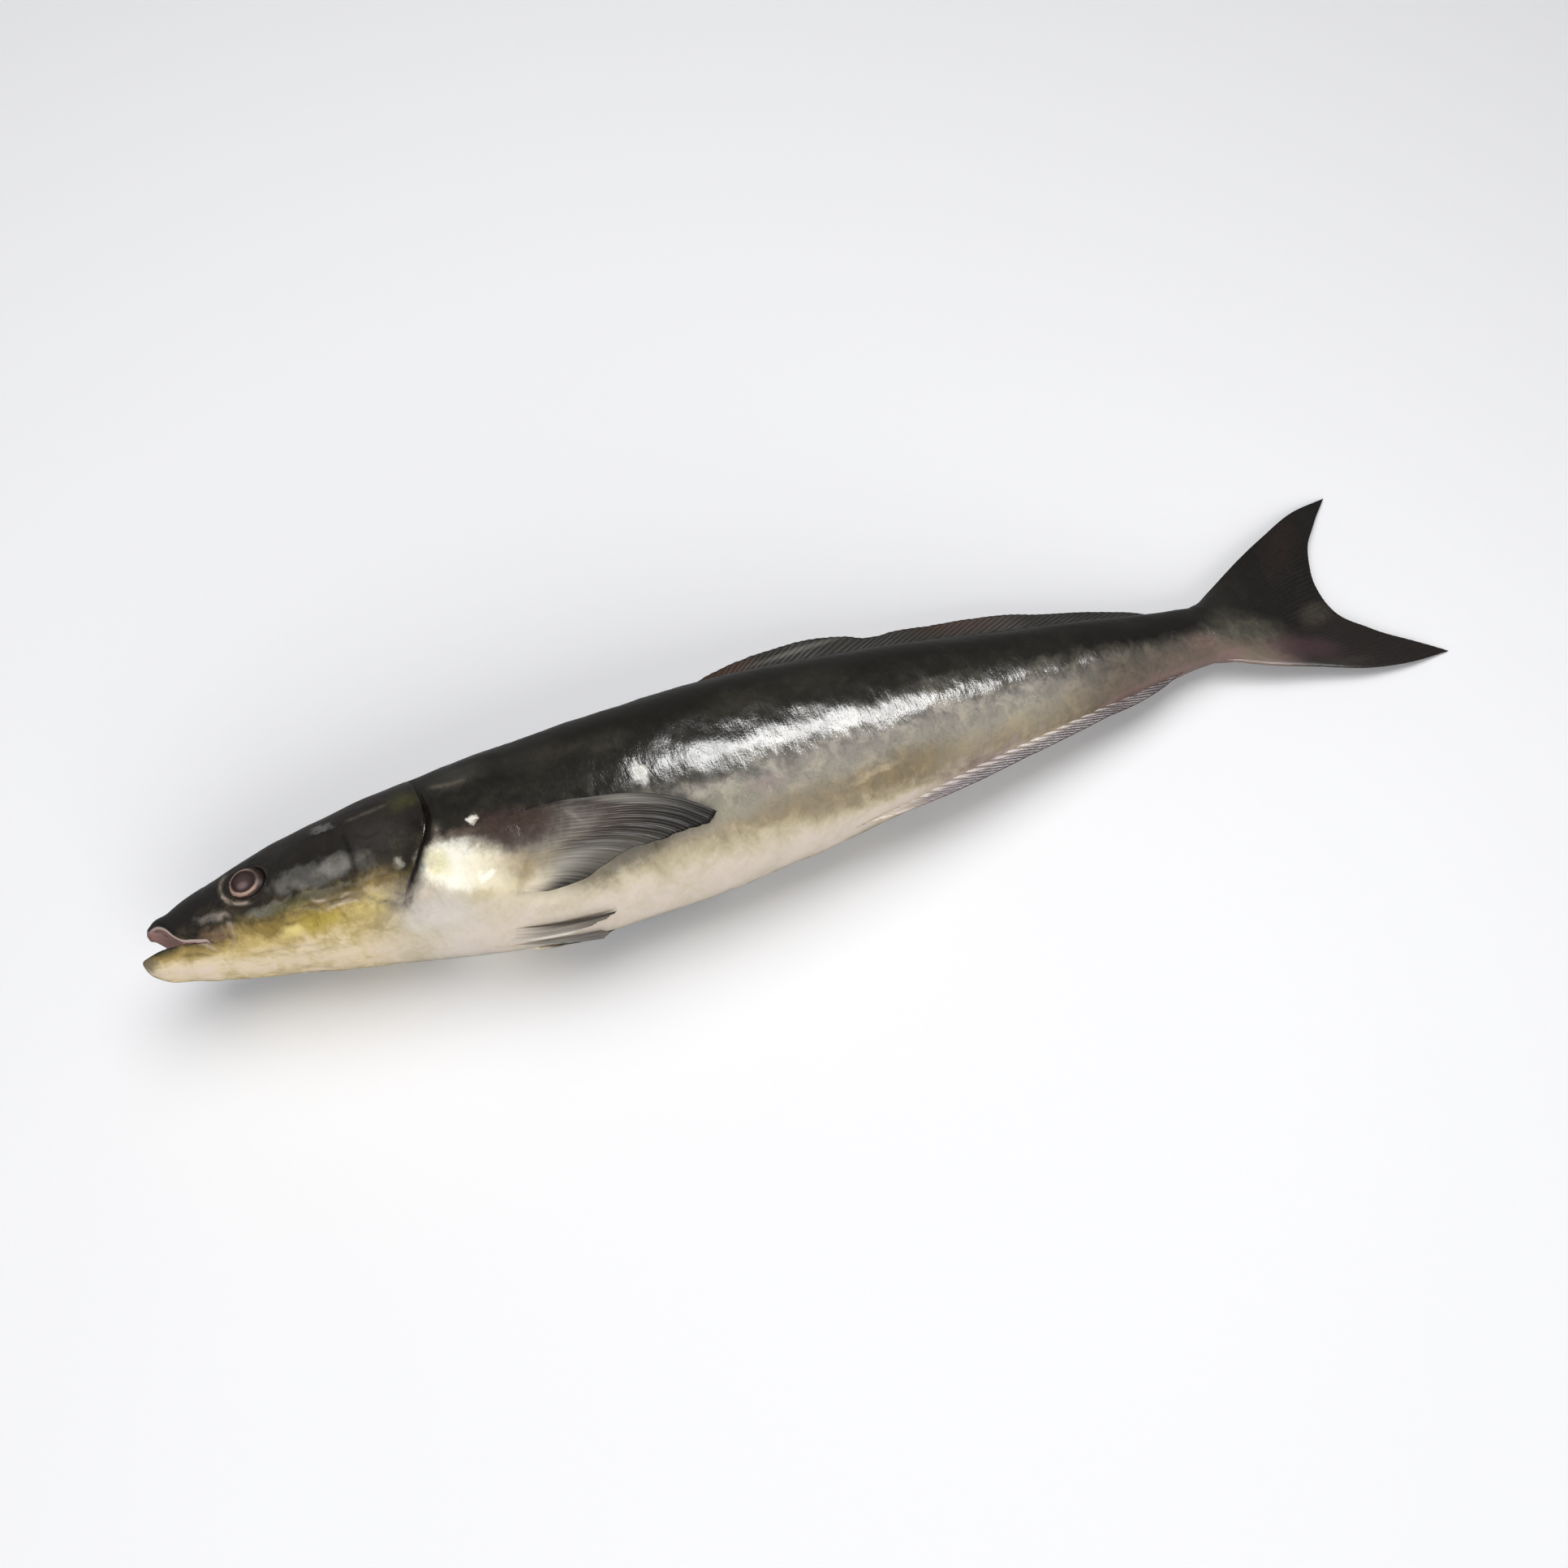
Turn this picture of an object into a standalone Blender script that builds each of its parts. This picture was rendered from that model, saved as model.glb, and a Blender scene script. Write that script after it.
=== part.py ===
"""Whole raw fish lying on its right side, left flank up.

The fish is modelled along its own axis: x runs from the snout to the tail, y points to the
back (dorsal) and z to the left flank. All sizes in the tables are millimetres on that axis.
The axis droops towards the tail, so that the tail fin lies on the table with the right flank.
The origin is on the flat spot of the right flank that the fish rests on.
"""
import math
from bisect import bisect_right

import bmesh
import bpy
import numpy as np
from mathutils import Vector

MM = 0.001

# Driving dimensions in millimetres
REST_POINT = (240.0, 5.0)
AXIS_HEIGHT = 40.5
AXIS_DROOP = 39.0
DROOP_START = 220.0
DROOP_END = 640.0
DROOP_POWER = 1.35

# Body curves along the axis: height of the back, the belly, half width, level of the widest line
BACK = [(0, 0.9), (8, 10.4), (20, 16.4), (40, 22.8), (70, 30.3), (100, 34.6), (135, 37.8),
        (180, 39.7), (230, 41.1), (290, 42.2), (350, 38.7), (410, 31.8), (470, 24.7),
        (520, 18.9), (550, 18.2)]
BELLY = [(0, -0.6), (8, -8.4), (20, -12.0), (40, -16.9), (70, -25.8), (100, -34.2),
         (135, -44.1), (180, -54.2), (230, -56.7), (290, -52.6), (350, -43.0), (410, -31.4),
         (470, -22.0), (520, -14.9), (550, -14.1)]
HALF_WIDTH = [(0, 5.0), (8, 11.6), (20, 18.8), (40, 26), (70, 33), (100, 37), (135, 39.5),
              (180, 41), (230, 41), (290, 38), (350, 33), (410, 26), (470, 18.5), (520, 11),
              (550, 7.5)]
WIDEST_LEVEL = [(0, 0), (8, -1), (20, -3), (40, -5), (70, -5), (100, -3), (135, 0), (180, 3),
                (230, 5), (290, 5), (350, 4), (410, 3), (470, 2), (520, 1), (550, 0)]
BACK_ROUNDNESS = 2.15
BELLY_ROUNDNESS = 2.2
SNOUT_ROUND = 3.5

# Mouth: the lip line falls from the snout to the mouth corner, and the jaws part at the front
MOUTH_CORNER = 34.0
LIP_SLOPE = -0.38
GAPE_LENGTH = 24.0
GAPE_SKIN_REACH = 0.6
UPPER_JAW_BACK = 5.6
UPPER_JAW_LIFT = 9.2
LOWER_JAW_DROP = 3.0
LIP_GAP = 0.6
LIP_ROLL = 1.1
MOUTH_HOLLOW = 0.45

# Gill cover: its edge bends a ring of the body forwards, and the shoulder behind it is lower
GILL_EDGE = 134.0
GILL_BEND_BELOW = 28.0
GILL_BEND_ABOVE = 9.0
GILL_REACH = 72.0
GILL_STEP = 1.9
GILL_STEP_LENGTH = 24.0

# Tail fin: leading edges and trailing edge, starting at the root of the tail
TAIL_ROOT = 528.0
TAIL_UPPER_EDGE = [(0, 528, 18.6), (0.12, 542, 25.5), (0.38, 573, 42), (0.57, 594, 52.5),
                   (0.8, 620, 64.5), (1, 643, 68.5)]
TAIL_LOWER_EDGE = [(0, 528, -14.6), (0.2, 552, -25.5), (0.4, 575, -33.5), (0.62, 602, -42.5),
                   (0.8, 624, -45.5), (1, 648.6, -45)]
TAIL_TRAILING_EDGE = [(0, 643, 68.5), (0.14, 628, 54), (0.36, 611, 33), (0.5, 603.5, 13),
                      (0.62, 604, -4), (0.78, 616, -19), (1, 648.6, -45)]
TAIL_FLESH_REACH = 0.42
FIN_HALF_THICKNESS = 0.9

# Fins along the back and the belly: distance along the axis, height above the body
DORSAL_HEIGHT = [(256, 0), (272, 11.5), (289, 16), (306, 18.2), (323, 19), (336, 18.6),
                 (346, 17.2), (356, 14.2), (372, 15.2), (387, 15.6), (421, 15), (453, 11.4),
                 (483, 7.8), (504, 3.2), (512, 0)]
ANAL_HEIGHT = [(316, 0), (336, 3.4), (356, 5.2), (380, 6.4), (410, 6.6), (450, 5.6), (490, 3.4),
               (506, 0)]
FIN_SINK = 3.5
SPINE_COUNT = 8
SPINE_START = 142.0
SPINE_SPACING = 14.5
SPINE_LENGTH = 11.0
SPINE_HEIGHT = 2.6

# Pectoral fin: root and outer edge of its fan of rays, from the leading ray down
PECTORAL_ROOT = [(0, 148, -14), (1, 158, -42)]
PECTORAL_EDGE = [(0, 252, -38), (0.15, 250.5, -42), (0.32, 240, -43), (0.5, 226, -44),
                 (0.68, 211, -43.5), (0.82, 197, -46), (0.92, 186, -47.5), (1, 173, -46.5)]
PECTORAL_BULGE = 11.5
PECTORAL_LIFT = 4.2

# Pelvic fins: a fan on the belly, given by the ring angle on the body and the reach of its rays
PELVIC_ROOT = 150.0
PELVIC_REACH = [(0, 49), (0.35, 43), (0.7, 33), (1, 21)]
PELVIC_ANGLES = (168.0, 180.0)
PELVIC_LIFT_LEFT = 2.6
PELVIC_LIFT_RIGHT = 6.0
PELVIC_SHORT_RIGHT = 0.82

# Eyes
EYE_CENTRE = (55.2, 3.0)
EYE_RADIUS = 8.2
EYE_DEPTH = 5.4
EYE_BULGE = 1.7
CLEARANCE = 0.3

# Fineness of the faceted mesh
COLUMNS = 10
TAIL_ROWS = 9
WELD = 0.0000005


def smooth(points, at):
    """Value at a place of the smooth curve through (place, value) points."""
    places = [p[0] for p in points]
    values = [p[1] for p in points]
    slopes = np.gradient(values, places)
    i = min(max(bisect_right(places, at) - 1, 0), len(places) - 2)
    span = places[i + 1] - places[i]
    t = min(max((at - places[i]) / span, 0.0), 1.0)
    start = (1 + 2 * t) * (1 - t) ** 2 * values[i] + t * (1 - t) ** 2 * span * slopes[i]
    end = t * t * (3 - 2 * t) * values[i + 1] + t * t * (t - 1) * span * slopes[i + 1]
    return float(start + end)


def smooth_point(points, at):
    """Point (x, y) at a share of the smooth curve through (share, x, y) points."""
    x = smooth([(p[0], p[1]) for p in points], at)
    y = smooth([(p[0], p[2]) for p in points], at)
    return Vector((x, y, 0.0))


def ease(t):
    """Smooth step from 0 to 1."""
    t = min(max(t, 0.0), 1.0)
    return t * t * (3 - 2 * t)


def axis_height(x):
    """Height of the fish's axis above the table."""
    share = max(x - DROOP_START, 0.0) / (DROOP_END - DROOP_START)
    return AXIS_HEIGHT - AXIS_DROOP * share ** DROOP_POWER


def place(point, floor=0.0):
    """World place of a point given on the fish's axis, kept on the table."""
    height = max(point[2] + axis_height(point[0]), floor)
    return Vector((point[0] - REST_POINT[0], point[1] - REST_POINT[1], height)) * MM


def section_sizes(x):
    """Back, belly, half width and widest level at x, with a rounded snout."""
    round_off = 1.0
    if x < SNOUT_ROUND:
        round_off = math.sqrt(1 - (1 - max(x, 0.0) / SNOUT_ROUND) ** 2)
    widest = smooth(WIDEST_LEVEL, x)
    back = widest + (smooth(BACK, x) - widest) * round_off
    belly = widest + (smooth(BELLY, x) - widest) * round_off
    return back, belly, smooth(HALF_WIDTH, x) * round_off, widest


def section_point(x, angle):
    """Point of the body's cross-section, angle 0 at the back and pi at the belly."""
    back, belly, half_width, widest = section_sizes(x)
    if angle <= math.pi / 2:
        along = abs(math.cos(angle)) ** (2 / BACK_ROUNDNESS)
        across = abs(math.sin(angle)) ** (2 / BACK_ROUNDNESS)
        return Vector((x, widest + (back - widest) * along, half_width * across))
    along = abs(math.cos(angle)) ** (2 / BELLY_ROUNDNESS)
    across = abs(math.sin(angle)) ** (2 / BELLY_ROUNDNESS)
    return Vector((x, widest + (belly - widest) * along, half_width * across))


def flank(x, y):
    """Distance of the body's side from the middle plane at x, y."""
    back, belly, half_width, widest = section_sizes(x)
    if y > widest:
        share = min((y - widest) / (back - widest), 1.0)
        return half_width * (1 - share ** BACK_ROUNDNESS) ** (1 / BACK_ROUNDNESS)
    share = min((y - widest) / (belly - widest), 1.0)
    return half_width * (1 - share ** BELLY_ROUNDNESS) ** (1 / BELLY_ROUNDNESS)


def lip_angle(x):
    """Ring angle of the lip line at x."""
    belly, widest = section_sizes(x)[1], section_sizes(x)[3]
    share = min(max((LIP_SLOPE * x - widest) / (belly - widest), 0.0), 1.0)
    return math.pi / 2 + math.asin(share ** (BELLY_ROUNDNESS / 2))


def split_angle(x):
    """Angle that halves the ring's columns: the lip line, then the middle of the flank."""
    at_corner = lip_angle(min(x, MOUTH_CORNER))
    return at_corner + (math.pi / 2 - at_corner) * ease((x - MOUTH_CORNER) / 60)


def column_angle(x, column):
    """Ring angle of a column, counted from the back to the belly."""
    middle = split_angle(x)
    if column <= COLUMNS:
        return middle * column / COLUMNS
    return middle + (math.pi - middle) * (column - COLUMNS) / COLUMNS


def gill_shift(x, angle):
    """How far a ring is drawn forwards to follow the gill cover's edge."""
    near = ease(1 - abs(x - GILL_EDGE) / GILL_REACH)
    if angle > math.pi / 2:
        return -GILL_BEND_BELOW * near * math.sin(angle - math.pi / 2) ** 1.2
    return -GILL_BEND_ABOVE * near * (1 - angle / (math.pi / 2)) ** 2


def gill_sink(x, angle):
    """How far the shoulder lies below the gill cover's edge."""
    if x < GILL_EDGE + 0.2:
        return 0.0
    window = ease((angle - 0.55) / 0.5) * ease((math.pi - 0.35 - angle) / 0.6)
    return GILL_STEP * window * (1 - ease((x - GILL_EDGE - 1) / GILL_STEP_LENGTH))


def skin_point(x, angle):
    """Point of the skin, with the gill cover's edge and step."""
    point = section_point(x + gill_shift(x, angle), angle)
    sink = gill_sink(x, angle)
    middle = Vector((point.x, smooth(WIDEST_LEVEL, point.x), 0.0))
    return point + (middle - point).normalized() * sink


def open_jaw(point, x, upper, share=1.0):
    """Move a point of a jaw to its place in the open mouth; share is 1 at the lip."""
    reach = GAPE_LENGTH * (GAPE_SKIN_REACH + (1 - GAPE_SKIN_REACH) * share)
    gape = max(1 - x / reach, 0.0) ** 1.4
    if upper:
        return point + Vector((UPPER_JAW_BACK, UPPER_JAW_LIFT, 0.0)) * gape
    gap = LIP_GAP * (1 - ease((x - MOUTH_CORNER + 6) / 6))
    return point - Vector((0.0, LOWER_JAW_DROP * gape + gap, 0.0))


def roll_lip(point, x, share):
    """Turn the last of a jaw's skin inwards, so that the lip is round; share is 1 at the lip."""
    roll = LIP_ROLL * min(1.0, point.z / 6) * (1 - ease((x - MOUTH_CORNER + 8) / 8))
    point.z -= roll * max(share * 6 - 5, 0.0) ** 2
    return point


def jaw_row(x, upper):
    """Outer skin of one jaw at x, from the middle line to the left lip."""
    row = []
    for step in range(COLUMNS + 1):
        column = step if upper else 2 * COLUMNS - step
        point = section_point(x, column_angle(x, column))
        share = step / COLUMNS
        row.append(open_jaw(roll_lip(point, x, share), x, upper, share))
    return row


def palate_row(x, upper):
    """Inner skin of one jaw at x: an arch between the lips that flattens to the throat."""
    lip = jaw_row(x, upper)[-1]
    middle = jaw_row(x, upper)[0]
    depth = MOUTH_HOLLOW * (1 - ease(x / MOUTH_CORNER)) ** 0.5
    row = []
    for step in range(COLUMNS + 1):
        share = math.sin(math.pi / 2 * step / COLUMNS)
        rise = (middle - lip) * depth * (1 - share * share)
        row.append(Vector((lip.x + rise.x, lip.y + rise.y, lip.z * share)))
    return row


def both_sides(row):
    """A row from the middle line to the left, made whole with its mirror image."""
    left = [Vector((p.x, p.y, p.z)) for p in row]
    right = [Vector((p.x, p.y, -p.z)) for p in row[1:]]
    return right[::-1] + left


def body_ring(x):
    """Closed ring of the skin at x."""
    left = [skin_point(x, column_angle(x, c)) for c in range(2 * COLUMNS + 1)]
    right = [Vector((p.x, p.y, -p.z)) for p in left[1:-1]]
    return left + right[::-1]


def tail_ring(t):
    """Ring of the tail fin at share t from its root to the trailing edge."""
    upper, lower = smooth_point(TAIL_UPPER_EDGE, t), smooth_point(TAIL_LOWER_EDGE, t)
    root_top, root_bottom = smooth_point(TAIL_UPPER_EDGE, 0), smooth_point(TAIL_LOWER_EDGE, 0)
    tip_top, tip_bottom = smooth_point(TAIL_UPPER_EDGE, 1), smooth_point(TAIL_LOWER_EDGE, 1)
    left = []
    for column in range(2 * COLUMNS + 1):
        v = column / (2 * COLUMNS)
        root = section_point(TAIL_ROOT, column_angle(TAIL_ROOT, column))
        flesh = root.z * (1 - ease(t / TAIL_FLESH_REACH))
        root.z = 0.0
        trailing = smooth_point(TAIL_TRAILING_EDGE, v)
        sides = upper * (1 - v) + lower * v + root * (1 - t) + trailing * t
        corners = (root_top * (1 - v) + root_bottom * v) * (1 - t)
        corners += (tip_top * (1 - v) + tip_bottom * v) * t
        point = sides - corners
        edge = math.sqrt(1 - (2 * v - 1) ** 8)
        blade = FIN_HALF_THICKNESS * edge * (1.15 - 0.5 * t)
        point.z = flesh + blade * ease(t / 0.1)
        left.append(point)
    right = [Vector((p.x, p.y, -p.z)) for p in left[1:-1]]
    return left + right[::-1]


def closing_ring():
    """The tail fin's thin trailing edge, where its two sides meet."""
    ring = tail_ring(1.0)
    for point in ring:
        point.x += FIN_HALF_THICKNESS * min(1.0, point.z)
        point.z = 0.0
    for n in range(1, 2 * COLUMNS):
        ring[-n].x = ring[n].x
    return ring


def stations(start, end, step, grow=1.0):
    """Places from start to end, a step apart that grows by a factor."""
    places = [start]
    while places[-1] + step < end:
        places.append(places[-1] + step)
        step *= grow
    return places


def add_grid(bm, rows, closed=False):
    """Quads between rows of points on the fish's axis."""
    verts = [[bm.verts.new(place(p)) for p in row] for row in rows]
    for i in range(len(verts) - 1):
        count = len(verts[i]) if closed else len(verts[i]) - 1
        for j in range(count):
            k = (j + 1) % len(verts[i])
            bm.faces.new([verts[i][j], verts[i][k], verts[i + 1][k], verts[i + 1][j]])


def finish_mesh(bm, name):
    """Weld, remove the collapsed faces, face outwards and return the object."""
    bmesh.ops.remove_doubles(bm, verts=bm.verts, dist=20 * WELD)
    bmesh.ops.dissolve_degenerate(bm, edges=bm.edges, dist=20 * WELD)
    bmesh.ops.recalc_face_normals(bm, faces=bm.faces)
    mesh = bpy.data.meshes.new(name)
    bm.to_mesh(mesh)
    bm.free()
    obj = bpy.data.objects.new(name, mesh)
    bpy.context.scene.collection.objects.link(obj)
    return obj


def make_body():
    """Head with its open mouth, trunk and tail fin as one closed skin."""
    bm = bmesh.new()
    head = stations(0.7, 4.0, 0.8, 1.7) + stations(4.0, MOUTH_CORNER, 3.4) + [MOUTH_CORNER]
    for upper in (True, False):
        outer = [both_sides(jaw_row(x, upper)) for x in head]
        inner = [both_sides(palate_row(x, upper)) for x in head]
        add_grid(bm, outer)
        add_grid(bm, inner)
        add_grid(bm, [inner[0], outer[0]])
    cheek = stations(MOUTH_CORNER, GILL_EDGE - 5, 8.5)
    gill = [GILL_EDGE - 2, GILL_EDGE, GILL_EDGE + 1.2, GILL_EDGE + 6]
    trunk = stations(GILL_EDGE + 14, TAIL_ROOT - 4, 12.0)
    tail = [tail_ring(t / TAIL_ROWS) for t in range(TAIL_ROWS + 1)]
    rings = [body_ring(x) for x in cheek + gill + trunk] + tail + [closing_ring()]
    add_grid(bm, rings, closed=True)
    return finish_mesh(bm, "fish")


def make_blade(name, rows, half_thickness, across=None, floor=0.0):
    """Thin solid round a grid of points: thick at the first row, thin at the outer rows."""
    bm = bmesh.new()
    sheets = []
    for side in (1, -1):
        sheet = []
        for i, row in enumerate(rows):
            share = i / (len(rows) - 1)
            offset = half_thickness * (1 - 0.45 * share)
            shift = (across or Vector((0, 0, 1))) * offset * side
            lowest = floor + (1 + side) * offset
            sheet.append([bm.verts.new(place(p + shift, lowest)) for p in row])
        sheets.append(sheet)
    last_row, last = len(rows) - 1, len(rows[0]) - 1
    for i in range(last_row):
        for j in range(last):
            for sheet in sheets:
                bm.faces.new([sheet[i][j], sheet[i][j + 1], sheet[i + 1][j + 1], sheet[i + 1][j]])
    rim = [(0, j) for j in range(last)] + [(i, last) for i in range(last_row)]
    rim += [(last_row, j) for j in range(last, 0, -1)] + [(i, 0) for i in range(last_row, 0, -1)]
    for n, (i, j) in enumerate(rim):
        k, m = rim[(n + 1) % len(rim)]
        bm.faces.new([sheets[0][i][j], sheets[1][i][j], sheets[1][k][m], sheets[0][k][m]])
    return finish_mesh(bm, name)


def middle_fin(name, heights, profile, direction, columns, rows=4, lean=0.0):
    """Fin on the middle line: its rays lean back over the body's profile."""
    first, last = heights[0][0], heights[-1][0]
    grid = []
    for i in range(rows + 1):
        share = i / rows
        row = []
        for j in range(columns + 1):
            x = first + (last - first) * j / columns
            height = max(smooth(heights, x), 0.4) * share
            base = smooth(profile, x) - direction * FIN_SINK * (1 - share)
            row.append(Vector((x + lean * height, base + direction * height, 0.0)))
        grid.append(row)
    return make_blade(name, grid, FIN_HALF_THICKNESS)


def pectoral_fin(name, side):
    """Folded fan of rays that lies along the flank."""
    rows, columns = 12, 7
    grid = []
    for i in range(rows + 1):
        r = i / rows
        row = []
        for j in range(columns + 1):
            q = j / columns
            root = smooth_point(PECTORAL_ROOT, q)
            point = root.lerp(smooth_point(PECTORAL_EDGE, q), r)
            point.y += PECTORAL_BULGE * math.sqrt(r) * (1 - r ** 5) * (1 - q)
            lift = -4 + (4 + PECTORAL_LIFT) * ease(r / 0.35)
            point.z = side * (flank(point.x, point.y) + lift)
            row.append(point)
        grid.append(row)
    return make_blade(name, grid, FIN_HALF_THICKNESS, floor=0.2)


def pelvic_fin(name, side, lift, length=1.0):
    """Narrow fan of rays under the belly."""
    rows, columns = 8, 4
    low, high = PELVIC_ANGLES
    grid = []
    for i in range(rows + 1):
        r = i / rows
        row = []
        for j in range(columns + 1):
            q = j / columns
            angle = math.radians(high + (low - high) * (1 - q))
            x = PELVIC_ROOT + q * 4 + smooth(PELVIC_REACH, q) * r * length
            point = section_point(x, angle)
            outward = Vector((0, point.y, point.z)).normalized()
            point += outward * (-3 + (3 + lift) * ease(r / 0.9))
            point.z *= side
            row.append(point)
        grid.append(row)
    return make_blade(name, grid, FIN_HALF_THICKNESS, across=Vector((0, 1, 0)))


def back_spine(index):
    """One short spine of the first dorsal fin, folded back on the nape."""
    x = SPINE_START + SPINE_SPACING * index
    bm = bmesh.new()
    sides = 5
    ring = []
    for k in range(sides):
        turn = 2 * math.pi * k / sides
        ring.append(bm.verts.new(place((x + 1.6 * math.cos(turn),
                                        smooth(BACK, x) - 2, 1.1 * math.sin(turn)))))
    tip_x = x + SPINE_LENGTH
    tip = bm.verts.new(place((tip_x, smooth(BACK, tip_x) + SPINE_HEIGHT, 0.0)))
    bm.faces.new(ring)
    for k in range(sides):
        bm.faces.new([ring[k], tip, ring[(k + 1) % sides]])
    return finish_mesh(bm, f"spine_{index}")


def ball(name, centre, radius, depth):
    """Flattened ball, round towards the side and shallow along z."""
    bm = bmesh.new()
    bmesh.ops.create_uvsphere(bm, u_segments=18, v_segments=10, radius=1.0)
    for vert in bm.verts:
        x, y, z = vert.co
        vert.co = place((centre[0] + radius * x, centre[1] + radius * y, centre[2] + depth * z))
    return finish_mesh(bm, name)


def eye_place(side):
    """Centre of an eyeball, sunk so that it stands a little proud of the cheek."""
    x, y = EYE_CENTRE
    return x, y, side * (flank(x, y) + EYE_BULGE - EYE_DEPTH)


def apply_boolean(target, operation, operand):
    """Join or cut with a Boolean modifier and keep its result as the mesh."""
    modifier = target.modifiers.new("cut", "BOOLEAN")
    modifier.operation = operation
    modifier.solver = "EXACT"
    if isinstance(operand, bpy.types.Collection):
        modifier.operand_type = "COLLECTION"
        modifier.collection = operand
    else:
        modifier.object = operand
    bpy.context.view_layer.update()
    graph = bpy.context.evaluated_depsgraph_get()
    mesh = bpy.data.meshes.new_from_object(target.evaluated_get(graph))
    target.modifiers.clear()
    target.data = mesh


def join_fins(body, fins):
    """Fuse every fin and spine with the body by one union."""
    group = bpy.data.collections.new("fins")
    bpy.context.scene.collection.children.link(group)
    for fin in fins:
        bpy.context.scene.collection.objects.unlink(fin)
        group.objects.link(fin)
    apply_boolean(body, "UNION", group)
    for fin in fins:
        bpy.data.objects.remove(fin)
    bpy.data.collections.remove(group)


def cut_socket(body, side):
    """Cut an eye's socket, a little larger than the eyeball."""
    cutter = ball("socket", eye_place(side), EYE_RADIUS + CLEARANCE, EYE_DEPTH + CLEARANCE)
    cutter.hide_render = True
    cutter.display_type = "WIRE"
    apply_boolean(body, "DIFFERENCE", cutter)
    bpy.data.objects.remove(cutter)


def tidy_mesh(obj):
    """Triangles without slivers or loose scraps."""
    bm = bmesh.new()
    bm.from_mesh(obj.data)
    bmesh.ops.triangulate(bm, faces=bm.faces)
    bmesh.ops.remove_doubles(bm, verts=bm.verts, dist=WELD)
    bmesh.ops.dissolve_degenerate(bm, edges=bm.edges, dist=WELD)
    loose = [edge for edge in bm.edges if not edge.link_faces]
    bmesh.ops.delete(bm, geom=loose, context="EDGES")
    bmesh.ops.triangulate(bm, faces=bm.faces)
    bm.to_mesh(obj.data)
    bm.free()


def make_material(name, colour, roughness):
    """Principled material of one colour."""
    material = bpy.data.materials.new(name)
    material.use_nodes = True
    shader = material.node_tree.nodes["Principled BSDF"]
    shader.inputs["Base Color"].default_value = (*colour, 1.0)
    shader.inputs["Roughness"].default_value = roughness
    shader.inputs["Metallic"].default_value = 0.0
    return material


def dress(obj, material):
    """Give an object its material and smooth shading with crisp fin edges."""
    obj.data.materials.clear()
    obj.data.materials.append(material)
    obj.data.shade_smooth()
    obj.data.set_sharp_from_angle(angle=math.radians(50))


for old in list(bpy.data.objects):
    bpy.data.objects.remove(old)

fish = make_body()
fin_solids = [
    middle_fin("dorsal_fin", DORSAL_HEIGHT, BACK, 1, 34, lean=0.5),
    middle_fin("anal_fin", ANAL_HEIGHT, BELLY, -1, 24, lean=0.5),
    pectoral_fin("pectoral_left", 1),
    pectoral_fin("pectoral_right", -1),
    pelvic_fin("pelvic_left", 1, PELVIC_LIFT_LEFT),
    pelvic_fin("pelvic_right", -1, PELVIC_LIFT_RIGHT, PELVIC_SHORT_RIGHT),
]
fin_solids += [back_spine(index) for index in range(SPINE_COUNT)]
join_fins(fish, fin_solids)
for eye_side in (1, -1):
    cut_socket(fish, eye_side)
tidy_mesh(fish)
dress(fish, make_material("skin", (0.10, 0.095, 0.075), 0.3))

eye_material = make_material("eye", (0.09, 0.05, 0.05), 0.08)
for eye_name, eye_side in (("eye_left", 1), ("eye_right", -1)):
    dress(ball(eye_name, eye_place(eye_side), EYE_RADIUS, EYE_DEPTH), eye_material)
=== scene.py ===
"""Whole raw fish lying on its right side, left flank up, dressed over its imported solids.

Sizes are millimetres on the fish's own axis: x runs from the snout to the tail, y to the back
and z out of the left flank. place() puts them on the table, in metres.
"""
import math

import bmesh
import bpy
import numpy as np
from mathutils import Matrix, Vector


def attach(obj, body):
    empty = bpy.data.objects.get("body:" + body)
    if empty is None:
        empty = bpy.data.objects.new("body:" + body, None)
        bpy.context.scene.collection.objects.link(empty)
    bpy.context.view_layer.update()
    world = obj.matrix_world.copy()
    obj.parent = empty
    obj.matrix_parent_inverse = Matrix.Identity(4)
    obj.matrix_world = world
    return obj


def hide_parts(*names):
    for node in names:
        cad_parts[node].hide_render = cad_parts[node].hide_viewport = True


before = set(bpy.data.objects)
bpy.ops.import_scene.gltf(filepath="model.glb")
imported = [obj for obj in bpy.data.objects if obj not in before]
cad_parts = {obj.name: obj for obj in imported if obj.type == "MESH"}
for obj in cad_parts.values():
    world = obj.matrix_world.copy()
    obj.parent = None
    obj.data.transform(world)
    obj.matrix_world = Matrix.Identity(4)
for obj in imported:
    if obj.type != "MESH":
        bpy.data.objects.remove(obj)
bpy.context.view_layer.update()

# Skin of head, trunk and tail root
# One wet hide over the whole body, with jaws that stand open at the front, gill covers that end
# in a free edge, and the fleshy root that the tail fin grows out of.
# It is near black on the back, grey to tan on the flank and cream on the belly.
MM = 0.001
REST_POINT = (240.0, 5.0)
AXIS_HEIGHT, AXIS_DROOP = 40.5, 39.0
DROOP_START, DROOP_END, DROOP_POWER = 220.0, 640.0, 1.35
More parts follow.
